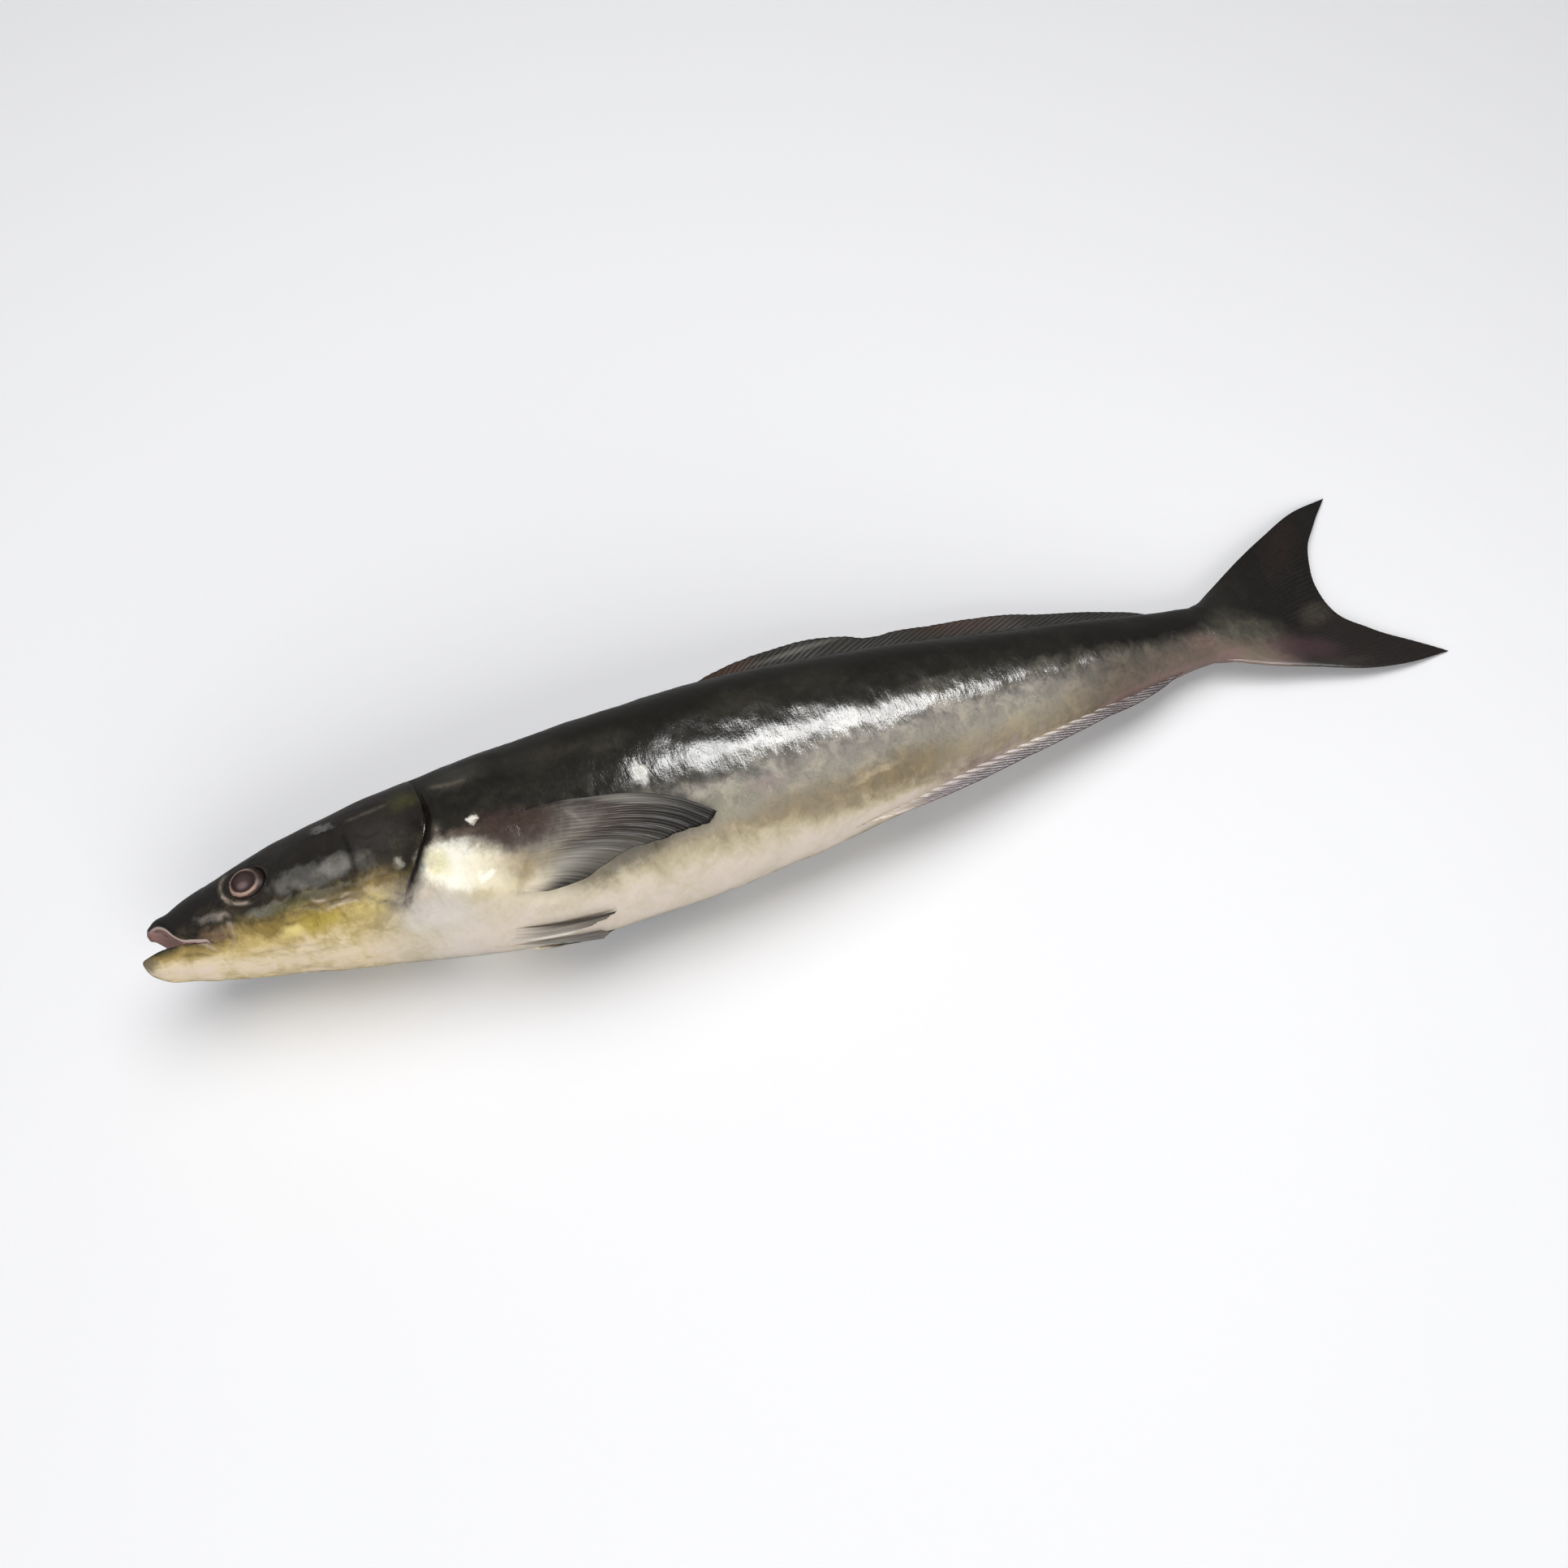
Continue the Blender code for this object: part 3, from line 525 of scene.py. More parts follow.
# Painted shade in the gap behind the gill cover's free edge
slit = window * bell(ring_x - GILL_EDGE - 0.55, 0.8) * (ring_x > GILL_EDGE + 0.26)
marks.append([on_head, 0 * ring_x, 0 * ring_x, slit])
skin_mesh = build_mesh("skin", *join_grids(grids), {
    name: np.concatenate([mark[i].ravel() for mark in marks])
    for i, name in enumerate(("on_head", "lip", "lining", "slit"))})
co, normals = read_back(skin_mesh.vertices, "co"), read_back(skin_mesh.vertex_normals, "vector")
lining = read_back(skin_mesh.attributes["lining"].data, "value", 1)[:, 0]
relief = lining * 0.25 * wobble(co * (1, 3, 3), 4, 8) * ease((co[:, 0] - 1) / 8)
co += normals * (relief + skin_relief(co) * (1 - lining))[:, None]
skin_mesh.vertices.foreach_set("co", co.ravel())
# Painted shade along the head's grooves and in its gill slit
note(skin_mesh, "painted_groove_shade", drawn_lines(co, DARK_LINES))
note(skin_mesh, "pale_line", drawn_lines(co, PALE_LINES))


def colour(red, green, blue):
    """Linear colour of the red, green and blue seen on a screen, 0 to 255."""
    linear = [c / 255 / 12.92 if c < 11 else ((c / 255 + 0.055) / 1.055) ** 2.4
              for c in (red, green, blue)]
    return (*linear, 1.0)


def add_node(tree, kind, inputs, **settings):
    """Add a shader node with its settings and its inputs, given as values or as sockets."""
    node = tree.nodes.new("ShaderNode" + kind)
    for name, value in settings.items():
        setattr(node, name, value)
    for name, value in inputs.items():
        if isinstance(value, bpy.types.NodeSocket):
            tree.links.new(value, node.inputs[name])
        else:
            node.inputs[name].default_value = value
    return node


def math_node(tree, operation, a, b):
    return add_node(tree, "Math", {0: a, 1: b}, operation=operation).outputs[0]


def times(tree, a, b):
    return math_node(tree, "MULTIPLY", a, b)


def swing(tree, value, size):
    """A value's distance from a half, times a size."""
    return times(tree, math_node(tree, "SUBTRACT", value, 0.5), size)


def vector_math(tree, operation, a, b):
    return add_node(tree, "VectorMath", {0: a, 1: b}, operation=operation).outputs[0]


def noise(tree, vector, scale, detail, roughness, bend=0.0):
    return add_node(tree, "TexNoise", {"Vector": vector, "Scale": scale, "Detail": detail,
                                       "Roughness": roughness, "Distortion": bend}).outputs


def mix_colour(tree, share, first, second, blend="MIX"):
    node = add_node(tree, "Mix", {0: share, 6: first, 7: second},
                    data_type="RGBA", blend_type=blend, clamp_factor=True)
    return node.outputs[2]


def tinted(tree, base, share, tint):
    """Colour made darker or lighter in part, by factors for its red, green and blue."""
    return mix_colour(tree, share, base, mix_colour(tree, 1.0, base, (*tint, 1), "MULTIPLY"))


def span(tree, value, low, high, to=(0.0, 1.0), shape="SMOOTHSTEP"):
    """Share of the way from low to high."""
    node = add_node(tree, "MapRange", {
        "Value": value, "From Min": low, "From Max": high, "To Min": to[0], "To Max": to[1]},
        interpolation_type=shape)
    return node.outputs["Result"]


def ramp(tree, value, stops):
    """Colour ramp through (place, colour) stops."""
    node = add_node(tree, "ValToRGB", {"Fac": value})
    elements = node.color_ramp.elements
    for element, (at, shade) in zip(elements, (stops[0], stops[-1])):
        element.position, element.color = at, colour(*shade)
    for at, shade in stops[1:-1]:
        elements.new(at).color = colour(*shade)
    return node.outputs["Color"]


NUMBER, VECTOR, COLOUR = "NodeSocketFloat", "NodeSocketVector", "NodeSocketColor"


def start_group(name, inputs, outputs):
    """New shader node group with named inputs (name, kind, value) and outputs (name, kind)."""
    group = bpy.data.node_groups.new(name, "ShaderNodeTree")
    for key, kind, value in inputs:
        socket = group.interface.new_socket(key, in_out="INPUT", socket_type=kind)
        if value is not None:
            socket.default_value = value
    for key, kind in outputs:
        group.interface.new_socket(key, in_out="OUTPUT", socket_type=kind)
    return group, group.nodes.new("NodeGroupInput").outputs


def put_out(group, **values):
    """Link a group's results to its outputs."""
    result = group.nodes.new("NodeGroupOutput")
    for name, value in values.items():
        group.links.new(value, result.inputs[name])


def use_group(tree, group, **inputs):
    inputs = {name.replace("_", " "): value for name, value in inputs.items()}
    return add_node(tree, "Group", inputs, node_tree=group).outputs


# A patch is a soft spot on the fish at a given place, size and turn
patch_group, given = start_group(
    "patch", [("Place", VECTOR, None), ("Centre", VECTOR, (0, 0, 0)), ("Turn", NUMBER, 0.0),
              ("Size", VECTOR, (0.1, 0.1, 1)), ("Edge", NUMBER, 0.4), ("Strength", NUMBER, 1.0)],
    [("Mask", NUMBER)])
moved = vector_math(patch_group, "SUBTRACT", vector_math(
    patch_group, "MULTIPLY", given["Place"], (1, 1, 0)), given["Centre"])
turned = add_node(patch_group, "VectorRotate", {
    "Vector": moved, "Axis": (0, 0, -1), "Angle": given["Turn"]}, rotation_type="AXIS_ANGLE")
scaled = vector_math(patch_group, "DIVIDE", turned.outputs[0], given["Size"])
away = add_node(patch_group, "VectorMath", {0: scaled}, operation="LENGTH").outputs[1]
edges = [math_node(patch_group, way, 1.0, given["Edge"]) for way in ("ADD", "SUBTRACT")]
put_out(patch_group, Mask=times(patch_group, span(patch_group, away, *edges), given["Strength"]))

# Hide grain: soft upright strokes, blotches, fine pores, and the relief of the small scales
grain_group, given = start_group(
    "hide_grain", [("Place", VECTOR, None), ("Blotch Size", NUMBER, 8.0)],
    [("Strokes", NUMBER), ("Blotches", NUMBER), ("Pores", NUMBER), ("Height", NUMBER)])
strokes, scales, blotches, pores = (
    noise(grain_group, vector_math(grain_group, "MULTIPLY", given["Place"], (1, stretch, stretch)),
          size, detail, 0.62, bend)[0]
    for stretch, size, detail, bend in ((0.8, 26.0, 5.0, 0.8), (0.26, 48.0, 3.0, 0.0),
                                        (1.0, given["Blotch Size"], 5.0, 0.6),
                                        (1.0, 95.0, 2.0, 0.0)))
put_out(grain_group, Strokes=strokes, Blotches=blotches, Pores=pores, Height=math_node(
    grain_group, "ADD", times(grain_group, scales, 0.75), times(grain_group, pores, 0.25)))


def read_value(tree, name, kind="Fac"):
    return add_node(tree, "Attribute", {}, attribute_name=name).outputs[kind]


def place_and_grain(tree, blotch_size):
    """A point's place on the fish, and the hide's grain there."""
    at = read_value(tree, "place", "Vector")
    return at, use_group(tree, grain_group, Place=at, Blotch_Size=blotch_size)


def wet_material(name, roughness=0.3, specular=0.5):
    """New material with a wet Principled shader."""
    material = bpy.data.materials.new(name)
    material.use_nodes = True
    shader = material.node_tree.nodes["Principled BSDF"].inputs
    shader["Roughness"].default_value = roughness
    shader["Specular IOR Level"].default_value = specular
    return material, material.node_tree, shader


def raise_surface(tree, shader, height, strength, distance=0.0004):
    bump = add_node(tree, "Bump", {"Height": height, "Strength": strength, "Distance": distance})
    tree.links.new(bump.outputs[0], shader["Normal"])


def paint_patches(tree, base, at, patches):
    """Lay (x, y, long, wide, turn, edge, strength, colour) patches over a colour."""
    for x, y, long, wide, turn, edge, strength, shade in patches:
        mask = use_group(tree, patch_group, Place=at, Centre=(x / 100, y / 100, 0),
                         Turn=math.radians(turn), Size=(long / 100, wide / 100, 1), Edge=edge,
                         Strength=strength)["Mask"]
        base = mix_colour(tree, mask, base, colour(*shade))
    return base


# Fish hide: the whole fish's colours by place and zone, with its blotches, and among its patches
# painted reflections, glints, highlights and a painted shadow; fins take it at their roots, so
# that they grow out of the skin
hide_group, given = start_group(
    "fish_hide", [("Place", VECTOR, None), ("Zone", NUMBER, 0.5), ("Head", NUMBER, 0.0)],
    [("Color", COLOUR)])
tree = hide_group
grain = use_group(tree, grain_group, Place=given["Place"], Blotch_Size=9.0)
sway = vector_math(tree, "SUBTRACT", noise(tree, given["Place"], 16.0, 5.0, 0.6)["Color"],
                   (0.5, 0.5, 0.5))
ragged = vector_math(tree, "ADD", given["Place"],
                     vector_math(tree, "MULTIPLY", sway, (0.09, 0.09, 0.09)))
blotch_swing = span(tree, given["Head"], 0.0, 1.0, (0.24, 0.38), "LINEAR")
mottle = math_node(tree, "ADD", swing(tree, grain["Strokes"], 0.09),
                   swing(tree, grain["Blotches"], blotch_swing))
level = math_node(tree, "ADD", given["Zone"], mottle)
head_shades = ramp(tree, level, [
    (0.0, (42, 38, 35)), (0.30, (34, 31, 28)), (0.41, (56, 51, 40)), (0.50, (90, 80, 52)),
    (0.58, (120, 103, 64)), (0.68, (148, 128, 78)), (0.80, (188, 168, 118)),
    (0.90, (218, 200, 168)), (1.0, (220, 202, 186))])
trunk_shades = ramp(tree, level, [
    (0.0, (36, 33, 28)), (0.20, (28, 25, 21)), (0.38, (38, 36, 31)), (0.48, (80, 77, 70)),
    (0.58, (144, 139, 131)), (0.68, (154, 147, 134)), (0.78, (154, 141, 117)),
    (0.86, (180, 168, 140)), (0.95, (202, 190, 169)), (1.0, (208, 195, 182))])
rear_shades = ramp(tree, level, [
    (0.0, (33, 30, 26)), (0.40, (26, 23, 20)), (0.47, (50, 47, 42)), (0.58, (89, 84, 76)),
    (0.80, (108, 95, 85)), (1.0, (122, 102, 96))])
tail_shades = ramp(tree, level, [
    (0.0, (24, 21, 19)), (0.5, (24, 21, 19)), (0.62, (34, 29, 27)), (1.0, (34, 29, 27))])
ahead, up, out = add_node(tree, "SeparateXYZ", {0: ragged}).outputs
out = math_node(tree, "MAXIMUM", out, times(tree, out, -FAR_SIDE))
seen = math_node(tree, "ADD", times(tree, up, SEEN_Y), times(tree, out, SEEN_Z))
seen_place = add_node(tree, "CombineXYZ", {0: ahead, 1: seen}).outputs[0]
shade = mix_colour(tree, given["Head"], trunk_shades, head_shades)
shade = mix_colour(tree, span(tree, ahead, 4.1, 4.75), shade, rear_shades)
shade = mix_colour(tree, span(tree, ahead, 5.5, 5.78), shade, tail_shades)
# Patches of the head, by seen height, among them painted reflections, a painted highlight and a
# painted glint
shade = paint_patches(tree, shade, seen_place, [
    # The next four grey patches are painted reflection on the cheek
    (81, 12.5, 17, 4.8, -4, 0.35, 0.6, (104, 102, 98)),
    (93, 13.5, 6, 4.0, 0, 0.5, 0.6, (124, 121, 116)),
    (60, 5, 7.5, 2.2, 0, 0.5, 0.6, (118, 116, 112)),
    (104, 12, 4, 4.5, 0, 0.6, 0.45, (106, 103, 97)),
    (79, -7.5, 11, 4.6, -6, 0.6, 0.7, (160, 142, 56)),
    # painted highlight on the gold cheek
    (66, -8, 5, 2.2, -10, 0.6, 0.75, (216, 198, 128)),
    (57, -4, 8, 3.0, -6, 0.7, 0.6, (132, 112, 54)),
    (72, 3.4, 13, 2.4, -4, 0.6, 0.65, (88, 84, 48)),
    (88, -0.2, 10, 2.8, -2, 0.7, 0.75, (104, 90, 54)),
    (100, -8, 7, 4.0, -10, 0.7, 0.6, (192, 174, 110)),
    (107, -6, 6, 5.0, 0, 0.6, 0.35, (184, 172, 130)),
    (110, 3.4, 6, 3.4, 0, 0.7, 0.55, (108, 90, 66)),
    (117.6, 5.4, 1.9, 2.3, 0, 0.7, 0.7, (180, 176, 162)),
    (112, -11.5, 5, 2.6, -30, 0.7, 0.6, (96, 84, 50)),
    (36.5, 0.6, 7, 3.4, -8, 0.5, 0.8, (106, 86, 70)),
    (37, 8.6, 5.5, 1.8, 0, 0.7, 0.5, (132, 126, 120)),
    (24, -3.4, 9, 2.2, -8, 0.7, 0.5, (160, 138, 84)),
    (4, -2.6, 5, 2.8, 0, 0.6, 0.75, (112, 100, 86)),
    (50, -8.5, 14, 3.4, -8, 0.7, 0.5, (206, 182, 116)),
    (67, -23.4, 6, 0.9, 0, 0.7, 0.6, (158, 100, 82)),
    # painted grey glint on top of the head
    (91, 30.2, 4.6, 0.9, 0, 0.7, 0.7, (122, 120, 118)),
    (127, 31, 6, 4.0, 0, 0.8, 0.5, (78, 78, 44)),
    (112, 20, 11, 8.0, 0, 0.8, 0.35, (74, 71, 66)),
    (124, -20, 13, 6.0, -8, 0.7, 0.6, (206, 200, 194)),
    (151, -16.5, 12, 4.6, -8, 0.7, 0.65, (170, 154, 102)),
])
# Patches of the trunk and the tail root, by x and y, among them painted glints, a painted
# highlight and a painted shadow under the pectoral fin
shade = paint_patches(tree, shade, ragged, [
    (139, -24, 13, 9.5, -24, 0.35, 0.95, (242, 238, 222)),
    (153, -32, 11, 7.5, -20, 0.45, 0.8, (232, 222, 196)),
    (133, -21, 5.5, 4.2, -50, 0.6, 0.55, (208, 202, 140)),
    (163, -34, 8, 4.4, -20, 0.7, 0.6, (150, 132, 100)),
    (128, -36, 16, 6.0, -22, 0.6, 0.5, (206, 198, 192)),
    (172, -45, 14, 3.4, -8, 0.6, 0.5, (224, 212, 190)),
    (170, -21, 22, 9, -18, 0.55, 0.9, (64, 48, 42)),
    (146, -13.4, 8, 2.4, -6, 0.7, 0.7, (96, 84, 74)),
    # The next two are painted glints on the shoulder
    (153, -9.4, 1.8, 1.6, 0, 0.5, 0.9, (226, 222, 212)),
    (151, -33, 3.6, 1.5, 0, 0.5, 0.9, (250, 246, 228)),
    # painted highlight: a bright spot ahead of the lit band on the flank
    (226.6, -13.6, 3.4, 5.2, 12, 0.45, 0.85, (220, 218, 212)),
    (262, -22, 13, 3.2, -2, 0.6, 0.55, (66, 64, 58)),
    (296, -21.5, 10, 2.2, 2, 0.6, 0.45, (78, 75, 68)),
    (262, -34, 14, 6.0, 0, 0.8, 0.35, (146, 146, 126)),
    (278, -32, 9, 3.5, 0, 0.7, 0.4, (154, 134, 130)),
    (300, -41, 30, 4.6, 3, 0.6, 0.35, (114, 100, 74)),
    (345, -36, 24, 5.0, 8, 0.6, 0.6, (114, 99, 72)),
    (330, -37, 11, 1.2, 12, 0.7, 0.5, (188, 174, 146)),
    (390, -35, 30, 1.0, 9, 0.7, 0.45, (196, 182, 172)),
    (385, -38, 26, 3.0, 12, 0.6, 0.55, (118, 94, 98)),
    (283, 8, 15, 8, 0, 0.8, 0.45, (60, 58, 46)),
    (320, 12, 14, 6, 0, 0.8, 0.35, (60, 58, 48)),
    # The next two are painted shadow on the flank under the pectoral fin
    (220, -41, 26, 5.0, 10, 0.8, 0.7, (84, 79, 64)),
    (204, -45, 16, 2.4, 4, 0.7, 0.5, (84, 76, 66)),
    (152, 16, 12, 6, 0, 0.8, 0.5, (76, 74, 68)),
    (185, 12, 14, 6, 0, 0.8, 0.35, (66, 63, 56)),
    (215, 8, 12, 5, 0, 0.8, 0.35, (66, 64, 54)),
    (548, -3, 15, 10, -10, 0.8, 0.6, (88, 85, 72)),
    (549, -19, 9, 4, -20, 0.8, 0.6, (112, 107, 88)),
    (520, -8, 9, 4, 0, 0.6, 0.4, (128, 104, 96)),
    (576, -21, 17, 7, -20, 0.6, 0.7, (74, 54, 58)),
    (600, 46, 18, 8, 50, 0.8, 0.45, (46, 30, 27)),
    (594, -2, 9, 5, 10, 0.8, 0.45, (78, 72, 64)),
    (592, -35, 14, 3, -12, 0.7, 0.4, (66, 62, 56)),
])
# The grain, weaker on the pale belly than on the back: its limits, the levels between which it
# grows, how strong it is there, and its tint
for key, low, high, pale, dark, strength, tint in (
        ("Blotches", 0.46, 0.66, 0.9, 0.6, (0.06, 0.5), (1.7, 1.68, 1.6)),
        ("Pores", 0.5, 0.36, 0.84, 0.66, (0.04, 0.25), (0.66, 0.64, 0.62)),
        ("Strokes", 0.56, 0.36, 0.92, 0.70, (0.06, 0.36), (0.62, 0.61, 0.58))):
    share = times(tree, span(tree, grain[key], low, high), span(tree, level, pale, dark, strength))
    shade = tinted(tree, shade, share, tint)
put_out(tree, Color=shade)

skin, tree, shader = wet_material("wet_fish_skin")
fish_place, grain = place_and_grain(tree, 14.0)
hide = use_group(tree, hide_group, Place=fish_place, Zone=read_value(tree, "zone"),
                 Head=read_value(tree, "on_head"))
# Painted shade along the head's grooves and gill slit, and pale lines, some of them painted glints
broken = span(tree, grain["Blotches"], 0.38, 0.58, (0.35, 1.0))
shade = tinted(tree, hide["Color"], times(tree, read_value(tree, "painted_groove_shade"), broken),
               (0.22, 0.20, 0.19))
pale = times(tree, read_value(tree, "pale_line"), times(tree, broken, 0.7))
shade = mix_colour(tree, pale, shade, colour(206, 188, 170))
lip = read_value(tree, "lip")
lip_shades = ramp(tree, lip, [
    (0.0, (104, 90, 82)), (0.12, (176, 158, 150)), (0.3, (168, 146, 138)), (0.42, (96, 72, 68)),
    (0.6, (138, 104, 98)), (1.0, (88, 64, 62))])
shade = mix_colour(tree, span(tree, lip, 0.0, 0.08), shade, lip_shades)
shade = mix_colour(tree, read_value(tree, "lining"), shade, colour(178, 142, 134))
# painted shade, near black, in the gap behind the gill cover
shade = mix_colour(tree, read_value(tree, "slit"), shade, colour(26, 18, 16))
tree.links.new(shade, shader["Base Color"])
tree.links.new(span(tree, grain["Blotches"], 0.35, 0.65, (0.12, 0.20)), shader["Roughness"])
raise_surface(tree, shader, grain["Height"], 0.3, 0.0006)
finish_piece("skin", skin_mesh, skin)

# Eyes
# Two moist flattened eyeballs, each in its socket: a cloudy brown pupil inside a pinkish ring,
# with a raised rim of skin round it.
EYE_RINGS, EYE_SIDES, EYE_CLEARANCE = 44, 96, 0.25
IRIS_CENTRE, IRIS_RADIUS, IRIS_NARROW, IRIS_RISE = (53.6, 3.2), 5.7, 1.04, 0.2
RIM_RADIUS, RIM_THICKNESS, RIM_SINK = 8.8, 0.62, 0.9
RIM_RINGS, RIM_SIDES = 160, 16

eye_finish, tree, shader = wet_material("eyeball", roughness=0.38, specular=0.2)
fish_place, grain = place_and_grain(tree, 40.0)
out = math_node(tree, "ADD", read_value(tree, "out"), swing(tree, grain["Blotches"], 0.10))
shade = ramp(tree, out, [
    (0.0, (74, 60, 58)), (0.40, (62, 48, 47)), (0.56, (42, 31, 30)), (0.63, (84, 64, 60)),
    (0.69, (178, 152, 138)), (0.77, (160, 132, 120)), (0.82, (70, 54, 48)), (1.0, (32, 27, 25))])
shade = paint_patches(tree, shade, fish_place, [
    (53, 1.0, 2.0, 1.6, 0, 0.7, 0.6, (132, 114, 112)),
    (61.5, 4.5, 4.2, 8.5, 12, 0.6, 0.85, (44, 34, 32)),
    (54, 10.5, 6.0, 2.0, 0, 0.7, 0.4, (110, 90, 82))])
shade = tinted(tree, shade, times(tree, grain["Pores"], 0.3), (0.55, 0.52, 0.5))
tree.links.new(shade, shader["Base Color"])


def dark_skin(name, low, high, first, second):
    """Material of bare dark skin, blotched with two colours."""
    material, tree, shader = wet_material(name)
    _, grain = place_and_grain(tree, 30.0)
    shade = mix_colour(tree, span(tree, grain["Blotches"], low, high), colour(*first),
                       colour(*second))
    tree.links.new(shade, shader["Base Color"])
    raise_surface(tree, shader, grain["Height"], 0.4)
    return material


def full_turn(count):
    return np.linspace(0, 2 * math.pi, count, endpoint=False)


rim_finish = dark_skin("eye_rim_skin", 0.35, 0.65, (34, 30, 27), (58, 50, 45))
for side, eye_name in ((1, "eye_left"), (-1, "eye_right")):
    centre_x, centre_y = EYE_CENTRE
    centre_z = float(flank(np.array(centre_x), np.array(centre_y))) + EYE_BULGE - EYE_DEPTH
    turn, lift = full_turn(EYE_SIDES), np.linspace(0, math.pi, EYE_RINGS)[:, None]
    out = np.sin(lift) ** 0.9
    high = np.sign(np.cos(lift)) * np.abs(1 - np.minimum(out, 1) ** 3) ** 0.45
    x = centre_x + EYE_RADIUS * out * np.cos(turn)
    y = centre_y + EYE_RADIUS * out * np.sin(turn)
    off_centre = np.hypot((x - IRIS_CENTRE[0]) / IRIS_NARROW, y - IRIS_CENTRE[1])
    ring = IRIS_RISE * bell(off_centre - IRIS_RADIUS, 0.7) * (high > 0)
    z = centre_z + (EYE_DEPTH - EYE_CLEARANCE) * high + ring
    shown = np.arange(EYE_RINGS)[:, None] < EYE_RINGS / 2
    mesh = build_mesh(eye_name + "_ball", *join_grids([(np.stack([x, y, side * z], -1), True)]), {
        "out": np.where(shown, np.minimum(off_centre / EYE_RADIUS, 1.0), 1.0)})
    finish_piece(eye_name + "_ball", mesh, eye_finish, nodes=(eye_name,))

    turn, round_by = full_turn(RIM_RINGS)[:, None], full_turn(RIM_SIDES)
    thick = RIM_THICKNESS * (1 + 0.12 * np.sin(3 * turn + 1) + 0.08 * np.sin(7 * turn))
    reach = RIM_RADIUS + thick * np.cos(round_by)
    seat = flank(centre_x + RIM_RADIUS * np.cos(turn), centre_y + RIM_RADIUS * np.sin(turn))
    rows = np.stack([centre_x + reach * np.cos(turn), centre_y + reach * np.sin(turn),
                     side * (seat - RIM_SINK + 1.1 * thick * np.sin(round_by))], -1)
    rows = np.concatenate([rows, rows[:1]])
    mesh = build_mesh(eye_name + "_rim", *join_grids([(rows, True)]), {})
    finish_piece(eye_name + "_rim", mesh, rim_finish)

# Tail fin
# A deeply forked fan of branching rays with dark webbing, growing out of the fleshy tail root.
# The rays stand as fine ridges on both faces and fray a little at the trailing edge.
TAIL_RAYS, TAIL_START = 26, 0.03
FIN_HALF_THICKNESS, RAY_RELIEF, FACE_GAP = 0.9, 0.3, 1.3


def ray_ridges(across, along, rays):
    """Height of the rays, 0 to 1, which split in two towards the fin's edge."""
    single = np.abs(np.cos(math.pi * rays * across)) ** 1.5
    double = np.abs(np.cos(2 * math.pi * rays * across)) ** 1.5
    split = ease((along - 0.45) / 0.25)
    return single * (1 - split) + double * split


def ragged_edge(across, rays, ray_depth, depth, stretch, size, seed):
    """How far a fin's edge falls short between its rays and where it is worn."""
    worn = wobble((across[0] * stretch)[:, None] * (1, 0, 0), size, seed)[None]
    return ray_depth * (1 - ray_ridges(across, 1.0, rays)) + depth * worn ** 2


def fin_grid(lines, rays, per_ray, start=0.0):
    """Shares of the way from root to edge, and across the fin."""
    return np.linspace(start, 1, lines)[:, None], np.linspace(0, 1, rays * per_ray + 1)[None]


def rising_ridges(across, along, rays, start, length, share=1.0):
    """Height of the rays of a fin whose root is smooth."""
    return 1 - (1 - ray_ridges(across, along, rays)) * ease((along - start) / length) * share


def thinning(along, across, loss):
    """Half thickness of a fin that thins out towards its edge."""
    return FIN_HALF_THICKNESS * (1 - loss * along) + 0 * across


def blade(name, rows, half_thickness, ridges, material, floor=0.0):
    """Thin closed fin round a sheet of points, with its rays raised on both faces."""
    normal = np.cross(np.gradient(rows, axis=0), np.gradient(rows, axis=1))
    normal /= np.maximum(np.linalg.norm(normal, axis=-1, keepdims=True), 1e-9)
    normal *= 1 if normal[..., 2].mean() >= 0 else -1
    shape = lines, count = rows.shape[:2]
    along, across = np.meshgrid(np.linspace(0, 1, lines), np.linspace(0, 1, count), indexing="ij")
    offset = (half_thickness * (1 - RAY_RELIEF * (1 - ridges)))[..., None]
    quads, index = quads_between(shape), np.arange(lines * count).reshape(shape)
    edge = np.concatenate([index[0, :-1], index[:-1, -1], index[-1, :0:-1], index[:0:-1, 0]])
    after = np.roll(edge, -1)
    faces = [quads[:, ::-1], quads + index.size,
             np.stack([edge, after, after + index.size, edge + index.size], -1)]
    mesh = build_mesh(
        name, np.stack([rows - normal * offset, rows + normal * offset]).reshape(-1, 3),
        np.concatenate(faces), {"along": np.stack([along, along]), "ridge": np.stack(
            [ridges, ridges]), "across": np.stack([across, across])}, weld=0)
    lowest = floor + np.concatenate([0 * offset.ravel(), FACE_GAP * offset.ravel()])
    finish_piece(name, mesh, material, lowest=lowest)


# Fin rays: fine pale and dark streaks along the rays, finer than the raised ridges
ray_group, given = start_group(
    "fin_rays", [("Across", NUMBER, 0.0), ("Along", NUMBER, 0.0), ("Rays", NUMBER, 30.0),
                 ("Length", NUMBER, 2.0)],
    [("Streaks", NUMBER), ("Flecks", NUMBER)])
spot = add_node(ray_group, "CombineXYZ", {
    0: times(ray_group, given["Across"], given["Rays"]),
    1: times(ray_group, given["Along"], given["Length"])}).outputs[0]
put_out(ray_group, Streaks=noise(ray_group, spot, 2.0, 2.0, 0.6)[0],
        Flecks=noise(ray_group, spot, 0.6, 4.0, 0.65)[0])


